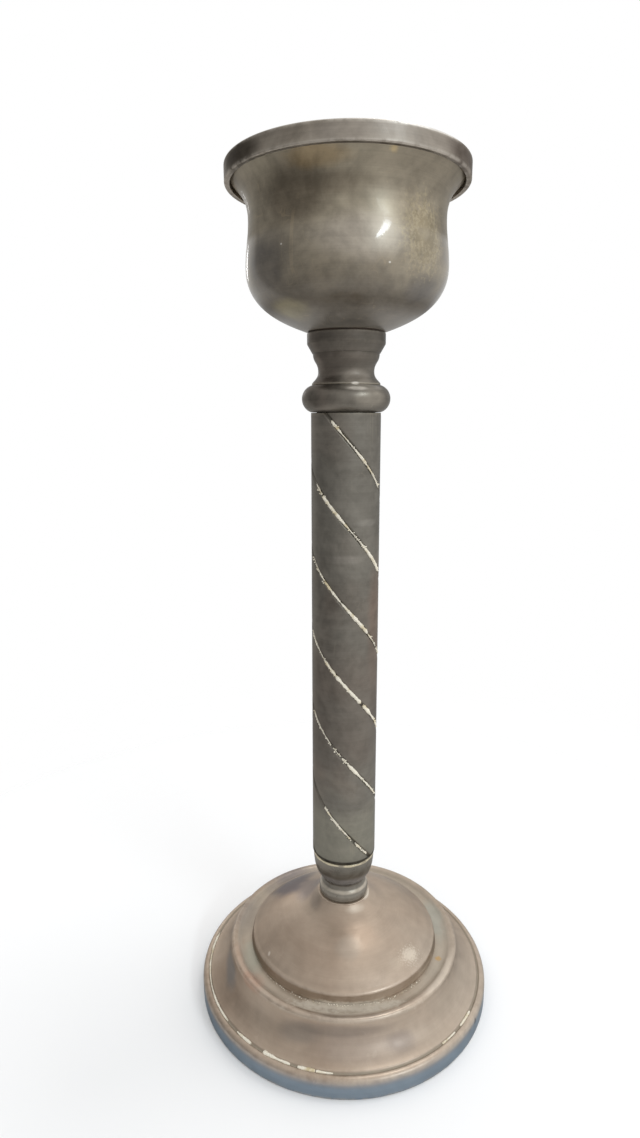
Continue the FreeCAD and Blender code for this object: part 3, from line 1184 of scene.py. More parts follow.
@dataclass(frozen=True)
class Turning:
    """How a section is turned into a mesh, in millimetres."""

    closed: bool = True
    segments: int = 256
    longest: float = 5.0
    ease: float = 0.25
    reach: float = 0.9
    drift: float = 0.0
    spiral: Spiral | None = None
    thread: Thread | None = None

    def piece(self, name: str, pen: Pen, finish: Material) -> Thing:
        """Turn a section.

        Args:
            name: the new piece's name.
            pen: the section.
            finish: the material.

        Returns:
            The turned piece.
        """
        points = refined(eased(pen.points, self.ease, self.closed), self.longest, self.closed)
        outer = max(r for r, _ in points)
        wear, grime = edge_marks(points, self.closed, self.reach)
        row = [Vector((r, 0, z)) * MM for r, z in points]
        section = marked_mesh(name + "_section", [row], {"wear": wear, "grime": grime})
        values = {
            "Closed": int(self.closed),
            "Segments": self.segments,
            "Twist": 0.0,
            "Phase": 0.0,
            "Groove Starts": 1.0,
            "Groove Half Arc": 1.0,
            "Groove Depth": 0.0,
            "Thread Pitch": 1.0,
            "Thread Depth": 0.0,
            "Thread Top": -1.0,
            "Outer Radius": outer * MM,
            "Drift": self.drift,
            "Material": finish,
        }
        if self.spiral:
            slope = math.atan2(self.spiral.lead, math.tau * outer)
            values |= {
                "Twist": -math.tau / (self.spiral.lead * MM),
                "Phase": self.spiral.angle_at(0.0),
                "Groove Starts": float(self.spiral.starts),
                "Groove Half Arc": self.spiral.width / 2 * MM / math.sin(slope),
                "Groove Depth": self.spiral.depth * MM,
            }
        if self.thread:
            values |= {
                "Thread Pitch": self.thread.pitch * MM,
                "Thread Depth": self.thread.depth * MM,
                "Thread Top": self.thread.top * MM,
            }
        return grow(name, section, turning_tree(), values)


@dataclass(frozen=True)
class Ridge:
    """How a broken ridge of dried polish is laid, in millimetres."""

    seed: float
    gaps: float
    thinnest: float
    roughen: float

    def piece(self, name: str, paths: Mesh, finish: Material) -> Thing:
        """Lay the ridge along paths.

        Args:
            name: the new piece's name.
            paths: the paths, whose points carry their thickness.
            finish: the material.

        Returns:
            The ridge.
        """
        values = {"Seed": self.seed, "Gaps": self.gaps, "Thinnest": self.thinnest}
        values |= {"Roughen": self.roughen * MM, "Material": finish}
        return grow(name, paths, residue_tree(), values)


@dataclass(frozen=True)
class Crumbs:
    """How crumbs are strewn, in millimetres."""

    seed: int
    count: int
    stray: Spot
    smallest: float
    largest: float

    def piece(self, name: str, paths: Mesh, finish: Material) -> Thing:
        """Strew the crumbs along paths.

        Args:
            name: the new piece's name.
            paths: the paths.
            finish: the material.

        Returns:
            The crumbs.
        """
        values = {"Seed": self.seed, "Count": self.count, "Material": finish}
        values |= {"Smallest": self.smallest * MM, "Largest": self.largest * MM}
        values["Stray"] = tuple(part * MM for part in self.stray)
        return grow(name, paths, crumb_tree(), values)


def hand_over(piece: Thing, body: Body, slot: Slot | None = None, *nodes: str) -> Thing:
    """Let a piece ride on a body and stand for nodes of the frame.

    Args:
        piece: the finished piece.
        body: the body it moves with.
        slot: not used.
        nodes: the nodes it stands for.

    Returns:
        The piece.
    """
    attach(piece, body.value)
    if nodes:
        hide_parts(*nodes)
    return piece


def refinish(node: str, finish: Material) -> Thing:
    """Give a node of the frame that stays in view a better material.

    Args:
        node: the node's name.
        finish: the material.

    Returns:
        The node's object.
    """
    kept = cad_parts[node]
    for slot in kept.material_slots:
        slot.material = finish
    return kept


# Sub-assemblies


@dataclass
class Base:
    """The foot, the dome and the knop, in millimetres."""

    foot: Span = measured("foot_shell")
    dome: Span = measured("base_dome")
    knop: Span = measured("lower_knop")
    wall: float = 2.0
    side_height: float = 6.0
    lip_round: float = 1.9
    edge_round: float = 0.6
    groove_radius: float = 54.4
    groove_width: float = 1.2
    groove_depth: float = 0.45
    cove_rise: float = 0.3
    cove_depth: float = 1.9
    step_radius: float = 45.5
    roll_radius: float = 1.3
    roll_rise: float = 1.1
    dip_width: float = 3.6
    opening_radius: float = 29.0
    skirt_height: float = 2.4
    skirt_lean: float = 0.5
    shoulder_width: float = 1.3
    shoulder_rise: float = 1.7
    shoulder_shares: tuple[float, float, float] = (0.6, 0.5, 0.25)
    crown_radius: float = 10.3
    crown_round: float = 0.3
    crown_step: float = 0.5
    roof_cove_width: float = 8.0
    roof_cove_drop: float = 5.7
    roof_cove_bow: float = 0.69
    swell: float = 0.9
    register_radius: float = 6.5
    register_room: float = 0.05
    bead_radius: float = 9.7
    bead_height: float = 4.2
    bead_crown: float = 0.45
    waist_radius: float = 8.4
    waist_height: float = 7.0
    bulb_radius: float = 11.9
    bulb_lip: float = 0.3
    bulb_shares: tuple[float, float, float] = (0.45, 0.13, 0.62)
    spigot_radius: float = 10.17
    seat_height: float = 18.3
    rod_hole: float = 4.3
    dashes: tuple[tuple[float, float, float], ...] = (
        (-104.0, -53.0, 0.4), (-46.6, -38.9, 0.55), (-32.8, -21.5, 0.6),
        (-18.5, -12.0, 0.6), (-11.6, -5.5, 0.55), (38.5, 46.2, 0.34),
        (49.9, 58.4, 0.36), (152.0, 160.0, 0.5), (171.0, 190.0, 0.42),
        (196.0, 204.0, 0.46),
    )
    steps_per_degree: float = 1.5
    polish_sunk: float = 0.3
    ridge: Ridge = Ridge(seed=0.37, gaps=0.1, thinnest=0.85, roughen=0.25)
    crumb_arc: tuple[int, int, int] = (-52, 48, 2)
    crumb_out: float = 0.7
    crumb_up: float = 0.1
    crumbs: Crumbs = Crumbs(seed=11, count=110, stray=(1.6, 1.6, 0.0), smallest=0.05, largest=0.26)

    @property
    def land_z(self) -> float:
        """Height of the land that the dome stands on."""
        return self.dome.bottom

    @property
    def lip_z(self) -> float:
        """Height of the lip of the foot."""
        return self.side_height + self.lip_round

    def foot_section(self) -> Pen:
        """Draw the stepped foot.

        Returns:
            The section.
        """
        radius, half = self.foot.radius, self.groove_width / 2
        cove_r, cove_z = self.groove_radius - half, self.lip_z + self.cove_rise
        roll_r, crest_z = self.step_radius - self.roll_radius, self.land_z + self.roll_rise
        land_r, dip_r = roll_r - self.dip_width, roll_r - self.dip_width / 2
        under_z = self.land_z - self.wall
        pen = Pen(radius - self.wall, 0).line(radius - self.edge_round, 0)
        pen.corner(radius, self.edge_round, Leave.ACROSS_AXIS).line(radius, self.side_height)
        pen.corner(radius - self.lip_round, self.lip_z, steps=10)
        pen.line(self.groove_radius + half, self.lip_z)
        pen.line(self.groove_radius, self.lip_z - self.groove_depth).line(cove_r, cove_z)
        pen.bow(self.cove_depth, self.step_radius, crest_z - self.roll_radius, steps=28)
        pen.corner(roll_r, crest_z, steps=10)
        pen.curve((dip_r, crest_z), (dip_r, self.land_z), land_r, self.land_z)
        pen.line(self.opening_radius, self.land_z).line(self.opening_radius, under_z)
        pen.line(self.step_radius - self.wall, under_z)
        pen.bow(-self.cove_depth, cove_r - self.wall / 2, cove_z - self.wall, steps=20)
        return pen.line(radius - self.wall, self.side_height - self.wall / 2)

    def dome_section(self) -> Pen:
        """Draw the domed cap.

        Returns:
            The section.
        """
        radius, low = self.dome.radius, self.dome.bottom
        top = self.knop.bottom + self.wall
        skirt_r, skirt_z = radius - self.skirt_lean, low + self.skirt_height
        roof_r, roof_z = skirt_r - self.shoulder_width, skirt_z + self.shoulder_rise
        crown_z = top - self.crown_step
        cove_r, cove_z = self.crown_radius + self.roof_cove_width, crown_z - self.roof_cove_drop
        hole, half = self.register_radius + self.register_room, self.wall / 2
        under_z = top - self.wall - self.crown_step
        shares = self.shoulder_shares
        pen = Pen(radius - self.wall, low).line(radius, low).line(skirt_r, skirt_z)
        pen.curve(
            (skirt_r, skirt_z + self.shoulder_rise * shares[0]),
            (roof_r + self.shoulder_width * shares[1], roof_z - self.shoulder_rise * shares[2]),
            roof_r,
            roof_z,
            steps=12,
        )
        pen.bow(-self.swell, cove_r, cove_z, steps=24)
        pen.bow(self.roof_cove_bow, self.crown_radius, crown_z)
        pen.line(self.crown_radius, top - self.crown_round)
        pen.corner(self.crown_radius - self.crown_round, top)
        pen.line(hole, top).line(hole, under_z).line(self.crown_radius - half, under_z)
        pen.bow(-self.roof_cove_bow, cove_r - half, cove_z - self.wall)
        pen.bow(self.swell, roof_r - half, roof_z - self.wall)
        return pen.line(radius - self.wall, skirt_z - half)

    def knop_section(self) -> Pen:
        """Draw the knop with its bead, waist and bulb.

        Returns:
            The section.
        """
        low, top = self.knop.bottom, self.knop.top
        floor_z = low + self.wall
        seat_z = floor_z + self.seat_height
        bead_r, bead_z = self.bead_radius - self.bead_crown, floor_z + self.bead_height
        waist_z, bulb_z = floor_z + self.waist_height, seat_z - self.bulb_lip
        rise, swell = bulb_z - waist_z, self.bulb_radius - self.waist_radius
        pen = Pen(self.rod_hole, low).line(self.register_radius, low)
        pen.line(self.register_radius, floor_z).line(bead_r, floor_z)
        pen.bow(-self.bead_crown, bead_r, bead_z)
        pen.bow((bead_r - self.waist_radius) / 2, self.waist_radius, waist_z)
        pen.curve(
            (self.waist_radius + swell * self.bulb_shares[0], waist_z + rise * self.bulb_shares[1]),
            (self.bulb_radius, bulb_z - rise * self.bulb_shares[2]),
            self.bulb_radius,
            bulb_z,
        )
        pen.corner(self.bulb_radius - self.bulb_lip, seat_z).line(self.spigot_radius, seat_z)
        return pen.line(self.spigot_radius, top).line(self.rod_hole, top)

    def groove_paths(self) -> Mesh:
        """Lay out the dashes of polish in the fine groove of the foot.

        Returns:
            The paths with their thickness.
        """
        runs, thick = [], []
        depth = self.lip_z - self.polish_sunk * self.groove_depth
        for first, last, width in self.dashes:
            count = max(FEWEST_STEPS, round((last - first) * self.steps_per_degree))
            run = []
            for step in range(count + 1):
                turn = math.radians(first + (last - first) * step / count - 90)
                spot = Vector((math.cos(turn), math.sin(turn), 0)) * self.groove_radius
                run.append((spot + Vector((0, 0, depth))) * MM)
                thick.append(width * MM * blunt(step, count))
            runs.append(run)
        return marked_mesh("groove_paths", runs, {"thick": thick})

    def crumb_path(self) -> Mesh:
        """Lay out the front of the channel round the skirt, where crumbs lie.

        Returns:
            The path.
        """
        turns = [math.radians(degrees - 90) for degrees in range(*self.crumb_arc)]
        radius, height = self.dome.radius + self.crumb_out, self.land_z + self.crumb_up
        run = [Vector((math.cos(t) * radius, math.sin(t) * radius, height)) * MM for t in turns]
        return marked_mesh("crumb_path", [run], {})

    def build(self, brass: Material, knop: Material, polish: Material) -> Pieces:
        """Make the pieces of the base and hand them over.

        Args:
            brass: finish of the foot and the dome.
            knop: finish of the knop.
            polish: finish of the dried polish.

        Returns:
            The pieces.
        """
        spun, fine = Turning(drift=SPUN_DRIFT), Turning(segments=FINE_SEGMENTS)
        foot = spun.piece("turned_foot", self.foot_section(), brass)
        dome = spun.piece("turned_dome", self.dome_section(), brass)
        bulb = fine.piece("turned_knop", self.knop_section(), knop)
        dashes = self.ridge.piece("foot_groove_polish", self.groove_paths(), polish)
        crumbs = self.crumbs.piece("channel_crumbs", self.crumb_path(), polish)
        return [
            hand_over(foot, Body.BASE, Slot.BASE_BRASS, "foot_shell"),
            hand_over(dome, Body.BASE, Slot.BASE_BRASS, "base_dome"),
            hand_over(bulb, Body.BASE, Slot.STEM_BRASS, "lower_knop"),
            hand_over(dashes, Body.BASE),
            hand_over(crumbs, Body.BASE),
        ]


@dataclass
class Stem:
    """The grooved column, the ring and the neck, in millimetres."""

    column: Span = measured("column_tube")
    ring: Span = measured("column_ring")
    neck: Span = measured("cup_neck")
    wall: float = 2.0
    edge_round: float = 0.5
    spigot_room: float = 0.08
    starts: int = 3
    lead: float = 88.0
    groove_width: float = 1.7
    groove_depth: float = 0.75
    groove_drop: float = 9.1
    end_play: float = 0.2
    rod_hole: float = 4.3
    tapped_radius: float = 4.05
    neck_foot_radius: float = 11.9
    neck_foot_height: float = 0.6
    waist_radius: float = 9.7
    waist_height: float = 4.7
    waist_share: float = 0.5
    flare_shares: tuple[float, float] = (0.42, 0.34)
    quirk_radius: float = 11.5
    quirk_height: float = 10.6
    quirk_step: float = 0.2
    flange_height: float = 3.6
    neck_round: float = 0.35
    counterbore: float = 6.8
    seat_depth: float = 9.1
    stretches: tuple[tuple[int, float, float, float], ...] = (
        (0, -26, -9, 0.42), (0, -10, 35, 0.4), (0, 35, 68, 0.24), (1, -58, -44, 0.42),
        (1, -42, -29, 0.46), (1, -31, 12, 0.42), (1, 12, 31, 0.34), (1, 31, 70, 0.5),
        (2, -70, -38, 0.26), (2, -38, -9, 0.42), (2, -9, 40, 0.58), (2, 42, 66, 0.26),
        (2, 70, 80, 0.5), (3, -76, -38, 0.28), (3, -38, -18, 0.42), (3, -18, 27, 0.56),
        (3, 32, 62, 0.6), (3, 63, 78, 0.3), (4, -70, -27, 0.3), (4, -22, -9, 0.22),
        (4, -6, 2, 0.55), (4, 4, 33, 0.6), (4, 33, 70, 0.36), (5, -39, -13, 0.46),
        (5, -13, 10, 0.26), (5, 19, 31, 0.58), (5, 33, 43, 0.36),
    )
    back_starts: tuple[int, ...] = (96, 150, 205)
    back_arc: int = 34
    back_width: float = 0.3
    fullness: float = 1.05
    steps_per_degree: float = 0.9
    end_margin: float = 1.0
    polish_sunk: float = 0.36
    ridge: Ridge = Ridge(seed=0.11, gaps=0.25, thinnest=0.75, roughen=0.45)
    crumbs: Crumbs = Crumbs(seed=23, count=16, stray=(0.2, 0.2, 2.2), smallest=0.06, largest=0.42)
    column_segments: int = 340
    column_longest: float = 1.5

    @property
    def spiral(self) -> Spiral:
        """The three grooves."""
        front_z = self.column.top - self.groove_drop
        return Spiral(self.starts, self.lead, self.groove_width, self.groove_depth, front_z)

    def column_section(self) -> Pen:
        """Draw the sleeve.

        Returns:
            The section.
        """
        radius, bore = self.column.radius, self.column.radius - self.wall
        low, top = self.column.bottom, self.column.top
        pen = Pen(bore, low).line(radius - self.edge_round, low)
        pen.corner(radius, low + self.edge_round, Leave.ACROSS_AXIS)
        return pen.line(radius, top).line(bore, top)

    def ring_section(self) -> Pen:
        """Draw the half-round ring and its spigot.

        Returns:
            The section.
        """
        radius, low, top = self.column.radius, self.ring.bottom, self.ring.top
        spigot = radius - self.wall - self.spigot_room
        seat_z = self.column.top + self.end_play
        pen = Pen(self.rod_hole, low).line(spigot, low).line(spigot, seat_z).line(radius, seat_z)
        pen.bow(-(self.ring.radius - radius), radius, top, steps=40)
        return pen.line(self.rod_hole, top)

    def neck_section(self) -> Pen:
        """Draw the waisted neck and its flange.

        Returns:
            The section.
        """
        low, top, flange_r = self.neck.bottom, self.neck.top, self.neck.radius
        foot_z, waist_z = low + self.neck_foot_height, low + self.waist_height
        quirk_z, flange_z = low + self.quirk_height, top - self.flange_height
        lower = self.waist_height * self.waist_share
        upper = (quirk_z - waist_z) * self.waist_share
        edge, foot_r = self.neck_round, self.neck_foot_radius
        pen = Pen(self.tapped_radius, low).line(foot_r - edge, low)
        pen.corner(foot_r, low + edge, Leave.ACROSS_AXIS).line(foot_r, foot_z)
        flare_r = foot_r - (foot_r - self.waist_radius) * self.flare_shares[0]
        flare_z = foot_z + (waist_z - foot_z) * self.flare_shares[1]
        waist_r = self.waist_radius
        pen.curve((flare_r, flare_z), (waist_r, waist_z - lower), waist_r, waist_z)
        pen.curve(
            (waist_r, waist_z + upper),
            (self.quirk_radius, quirk_z - upper),
            self.quirk_radius,
            quirk_z,
        )
        pen.line(self.quirk_radius + self.quirk_step, quirk_z)
        pen.line(flange_r, flange_z).line(flange_r, top - edge).corner(flange_r - edge, top)
        pen.line(self.counterbore, top).line(self.counterbore, top - self.seat_depth)
        return pen.line(self.tapped_radius, top - self.seat_depth)

    def groove_paths(self, sunk: float) -> Mesh:
        """Lay out the stretches of polish that are left in the spiral grooves.

        Args:
            sunk: how deep they lie, as a share of the groove.

        Returns:
            The paths with their thickness.
        """
        spiral, runs, thick = self.spiral, [], []
        turns = range(2 * spiral.starts)
        hidden = tuple(
            (turn, first, first + self.back_arc, self.back_width)
            for turn in turns
            for first in self.back_starts
        )
        depth = self.column.radius - sunk * self.groove_depth
        low, top = self.column.bottom + self.end_margin, self.column.top - self.end_margin
        for turn, first, last, width in self.stretches + hidden:
            count = max(FEWEST_STEPS, round((last - first) * self.steps_per_degree))
            run = []
            for step in range(count + 1):
                degrees = first + (last - first) * step / count
                height = spiral.front_z - spiral.lead * (turn / spiral.starts + degrees / 360)
                if not low < height < top:
                    continue
                angle = math.radians(degrees - 90)
                x, y = math.cos(angle) * depth, math.sin(angle) * depth
                run.append(Vector((x, y, height)) * MM)
                thick.append(self.fullness * width * MM * blunt(step, count))
            runs.append(run)
        return marked_mesh("spiral_paths", runs, {"thick": thick})

    def build(self, brass: Material, ring: Material, polish: Material) -> Pieces:
        """Make the pieces of the stem and hand them over.

        Args:
            brass: finish of the column.
            ring: finish of the ring and the neck.
            polish: finish of the dried polish.

        Returns:
            The pieces.
        """
        cutter = {"segments": self.column_segments, "longest": self.column_longest}
        lathe, fine = Turning(spiral=self.spiral, **cutter), Turning(segments=FINE_SEGMENTS)
        column = lathe.piece("turned_column", self.column_section(), brass)
        band = fine.piece("turned_ring", self.ring_section(), ring)
        neck = fine.piece("turned_neck", self.neck_section(), ring)
        stripes = self.ridge.piece("spiral_polish", self.groove_paths(self.polish_sunk), polish)
        crumbs = self.crumbs.piece("spiral_crumbs", self.groove_paths(0.0), polish)
        return [
            hand_over(column, Body.COLUMN, Slot.STEM_BRASS, "column_tube"),
            hand_over(band, Body.BASE, Slot.STEM_BRASS, "column_ring"),
            hand_over(neck, Body.BASE, Slot.STEM_BRASS, "cup_neck"),
            hand_over(stripes, Body.COLUMN),
            hand_over(crumbs, Body.COLUMN),
        ]


@dataclass
class Cup:
    """The spun bowl, its band and its bush, in millimetres."""

    bowl: Span = measured("cup_bowl")
    band: Span = measured("rim_band")
    bush: Span = measured("cup_bush")
    wall: float = 1.6
    floor_radius: float = 13.4
    floor_slope: float = 20.0
    belly_radius: float = 33.9
    belly_height: float = 19.5
    waist_radius: float = 32.75
    waist_height: float = 34.8
    flare_height: float = 46.8
    flare_slope: float = 42.0
    floor_shares: tuple[float, float] = (0.45, 0.62)
    belly_share: float = 0.4
    flare_shares: tuple[float, float] = (0.55, 0.3)
    flare_wall_share: float = 0.55
    band_top: float = 1.4
    band_round: float = 0.5
    shank_radius: float = 6.5
    shank_room: float = 0.05
    head_radius: float = 10.5
    head_height: float = 2.4
    head_round: float = 0.9
    cap: float = 1.7
    tapped_radius: float = 4.05
    bowl_segments: int = 192
    bush_segments: int = 128

    def side(self, pen: Pen, inset: float) -> Pen:
        """Draw the S-shaped side of the bowl from the floor to the flare.

        Args:
            pen: the pen, at the edge of the floor.
            inset: how far the side is moved in, for the inside.

        Returns:
            The pen.
        """
        low, floor = self.bowl.bottom, pen.here
        belly = (self.belly_radius - inset, low + self.belly_height)
        waist = (self.waist_radius - inset, low + self.waist_height)
        flare = (self.bowl.radius - inset, low + self.flare_height + inset * self.flare_wall_share)
        belly_rise, waist_rise = belly[1] - floor[1], waist[1] - belly[1]
        flare_rise = flare[1] - waist[1]
        pen.curve(
            along(floor, self.floor_slope, (belly[0] - floor[0]) * self.floor_shares[0]),
            (belly[0], belly[1] - belly_rise * self.floor_shares[1]),
            *belly,
            steps=36,
        )
        pen.curve(
            (belly[0], belly[1] + waist_rise * self.belly_share),
            (waist[0], waist[1] - waist_rise * self.belly_share),
            *waist,
        )
        return pen.curve(
            (waist[0], waist[1] + flare_rise * self.flare_shares[0]),
            along(flare, self.flare_slope, -flare_rise * self.flare_shares[1]),
            *flare,
        )

    def bowl_section(self) -> Pen:
        """Draw the bowl.

        Returns:
            The section.
        """
        low, lip_r, lip_z = self.bowl.bottom, self.bowl.radius, self.bowl.top
        hole = self.shank_radius + self.shank_room
        pen = self.side(Pen(self.floor_radius, low), 0.0)
        pen.line(lip_r, lip_z).line(lip_r - self.wall, lip_z)
        inside = self.side(Pen(self.floor_radius, low + self.wall), self.wall)
        pen.points.extend(reversed(inside.points))
        return pen.line(hole, low + self.wall).line(hole, low)

    def band_section(self) -> Pen:
        """Draw the band.

        Returns:
            The section.
        """
        low, top, edge = self.band.bottom, self.band.top, self.band_round
        outer, lip_r = self.band.radius, self.bowl.radius
        inner = lip_r - self.wall
        pen = Pen(lip_r, low).line(outer - edge, low).corner(outer, low + edge, Leave.ACROSS_AXIS)
        pen.line(outer, top - edge).corner(outer - edge, top).line(inner + edge, top)
        pen.corner(inner, top - edge, Leave.ACROSS_AXIS).line(inner, top - self.band_top)
        return pen.line(lip_r, top - self.band_top)

    def bush_section(self) -> Pen:
        """Draw the bush, from its blind end round to the top of its head.

        Returns:
            The section.
        """
        low, top, edge = self.bush.bottom, self.bush.top, self.head_round
        head_r, floor_z = self.head_radius, self.bush.top - self.head_height
        pen = Pen(0, top - self.cap).line(self.tapped_radius, top - self.cap)
        pen.line(self.tapped_radius, low)
        pen.line(self.shank_radius, low).line(self.shank_radius, floor_z).line(head_r, floor_z)
        return pen.line(head_r, top - edge).corner(head_r - edge, top).line(0, top)

    def build(self, brass: Material, band: Material) -> Pieces:
        """Make the pieces of the cup and hand them over.

        Args:
            brass: finish of the bowl and the bush.
            band: finish of the band.

        Returns:
            The pieces.
        """
        spun = Turning(segments=self.bowl_segments, drift=SPUN_DRIFT)
        blind = Turning(closed=False, segments=self.bush_segments)
        bowl = spun.piece("turned_bowl", self.bowl_section(), brass)
        hoop = Turning().piece("turned_band", self.band_section(), band)
        bush = blind.piece("turned_bush", self.bush_section(), brass)
        return [
            hand_over(bowl, Body.CUP, Slot.CUP_BRASS, "cup_bowl"),
            hand_over(hoop, Body.CUP, Slot.CUP_BRASS, "rim_band"),
            hand_over(bush, Body.CUP, Slot.CUP_BRASS, "cup_bush"),
        ]


@dataclass
class Fixings:
    """The tie rod, with its nut, washers and disc, in millimetres."""

    rod: Span = measured("tie_rod")
    chamfer: float = 0.8
    thread: Thread = Thread(pitch=1.25, depth=0.55, top=24.0)
    steps_per_pitch: int = 8
    rod_segments: int = 64
    rod_ease: float = 0.1
    rod_longest: float = 40.0
    plain: tuple[str, ...] = ("base_nut", "base_washer", "lock_washer", "base_disc")

    def rod_section(self) -> Pen:
        """Draw the rod with bevelled ends.

        Returns:
            The section.
        """
        radius, low, top = self.rod.radius, self.rod.bottom, self.rod.top
        pen = Pen(0, low).line(radius - self.chamfer, low).line(radius, low + self.chamfer)
        height = low + self.chamfer
        while height < self.thread.top:
            height += self.thread.pitch / self.steps_per_pitch
            pen.line(radius, height)
        return pen.line(radius, top - self.chamfer).line(radius - self.chamfer, top).line(0, top)

    def build(self, steel: Material, leather: Material) -> Pieces:
        """Make the rod, and give the plain nodes their finish.

        Args:
            steel: finish of the fixings.
            leather: finish of the washer under the cup.

        Returns:
            The rod and the nodes.
        """
        sizes = {"segments": self.rod_segments, "ease": self.rod_ease, "longest": self.rod_longest}
        lathe = Turning(closed=False, thread=self.thread, **sizes)
        rod = lathe.piece("threaded_rod", self.rod_section(), steel)
        return [
            hand_over(rod, Body.BASE, Slot.FIXING_STEEL, "tie_rod"),
            *(refinish(node, steel) for node in self.plain),
            refinish("cup_washer", leather),
        ]


@dataclass(frozen=True)
class Lamp:
    """One soft oval lamp, in metres and degrees."""

    name: str
    at: Spot
    aim: Spot
    size: Point
    watts: float
    tilt: float = 0.0
    colour: Spot = (1.0, 1.0, 1.0)

    def hang(self) -> None:
        """Hang the lamp and point it at its aim."""
        data = bpy.data.lights.new(self.name, "AREA")
        data.shape, data.energy, data.color = "ELLIPSE", self.watts, self.colour
        data.size, data.size_y = self.size
        lamp, at = bpy.data.objects.new(self.name, data), Vector(self.at)
        turn = (Vector(self.aim) - at).to_track_quat("-Z", "Y").to_matrix().to_4x4()
        tilt = Matrix.Rotation(math.radians(self.tilt), 4, "Z")
        lamp.matrix_world = Matrix.Translation(at) @ turn @ tilt
        lamp.visible_camera = False
        bpy.context.scene.collection.objects.link(lamp)


CUP_MIDDLE, BASE_MIDDLE = (0.0, 0.0, 0.275), (0.0, 0.0, 0.03)


@dataclass
class Studio:
    """The pale floor, the soft light and the camera, in metres and degrees."""

    eye: Spot = (-0.00922, -0.25242, 0.22448)
    pitch_down: float = 11.908
    roll: float = -0.129
    lens: float = 22.27
    sensor: float = 36.0
    nearest: float = 0.005
    floor_radius: float = 1.2
    floor_segments: int = 96
    floor_finish: PaleFloor = PaleFloor("pale_floor")
    bright_way: Spot = (0.9, 0.0, 0.45)
    bright_span: Point = (-0.8, 0.35)
    back_way: Spot = (0.0, 0.98, -0.2)
    back_span: Point = (0.36, 0.6)
    dimmest: float = 0.38
    lamps: tuple[Lamp, ...] = (
        Lamp(
            "window",
            at=(0.813, -0.93, 0.87),
            aim=CUP_MIDDLE,
            size=(0.1, 0.6),
            watts=3.2,
            tilt=-64,
            colour=(0.8, 0.91, 1.0),
        ),
        Lamp("overhead", at=(0.36, 0.2, 1.5), aim=BASE_MIDDLE, size=(0.4, 0.4), watts=3.0),
        Lamp("side", at=(1.1, 0.08, 0.85), aim=BASE_MIDDLE, size=(0.5, 0.4), watts=0.4),
        Lamp("edge", at=(-0.56, 1.06, 0.48), aim=CUP_MIDDLE, size=(0.06, 0.24), watts=0.35),
    )

    def camera(self) -> None:
        """Set the camera where the picture was taken from."""
        data = bpy.data.cameras.new("camera")
        data.lens, data.sensor_width, data.clip_start = self.lens, self.sensor, self.nearest
        camera = bpy.data.objects.new("camera", data)
        turn = Matrix.Rotation(math.radians(90 - self.pitch_down), 4, "X")
        turn = turn @ Matrix.Rotation(math.radians(self.roll), 4, "Z")
        camera.matrix_world = Matrix.Translation(self.eye) @ turn
        bpy.context.scene.collection.objects.link(camera)
        bpy.context.scene.camera = camera

    def floor(self) -> None:
        """Lay the floor."""
        shape = bmesh.new()
        sizes = {"segments": self.floor_segments, "radius": self.floor_radius}
        bmesh.ops.create_circle(shape, cap_ends=True, **sizes)
        mesh = bpy.data.meshes.new("floor")
        shape.to_mesh(mesh)
        shape.free()
        floor = bpy.data.objects.new("floor", mesh)
        bpy.context.scene.collection.objects.link(floor)
        mesh.materials.append(self.floor_finish.material())

    def world(self) -> None:
        """Light the scene from all round, white behind the object and dim on its left."""
        world = bpy.data.worlds.new("studio")
        world.use_nodes = True
        bpy.context.scene.world = world
        sheet = Sheet(world.node_tree)
        way = sheet.make("ShaderNodeTexCoord", output="Generated")
        ways = (Vector(self.bright_way).normalized(), Vector(self.back_way).normalized())
        side, back = (sheet.vector("DOT_PRODUCT", way, to, output=1) for to in ways)
        level = sheet.step(side, *self.bright_span, self.dimmest, 1.0)
        level = sheet.math("MAXIMUM", level, sheet.step(back, *self.back_span))
        background = world.node_tree.nodes["Background"]
        sheet.feed(background.inputs["Color"], sheet.join(level, level, level))

    def build(self) -> None:
        """Set up everything that isn't the object."""
        bpy.context.scene.view_settings.view_transform = "Standard"
        self.camera()
        self.floor()
        self.world()
        for lamp in self.lamps:
            lamp.hang()
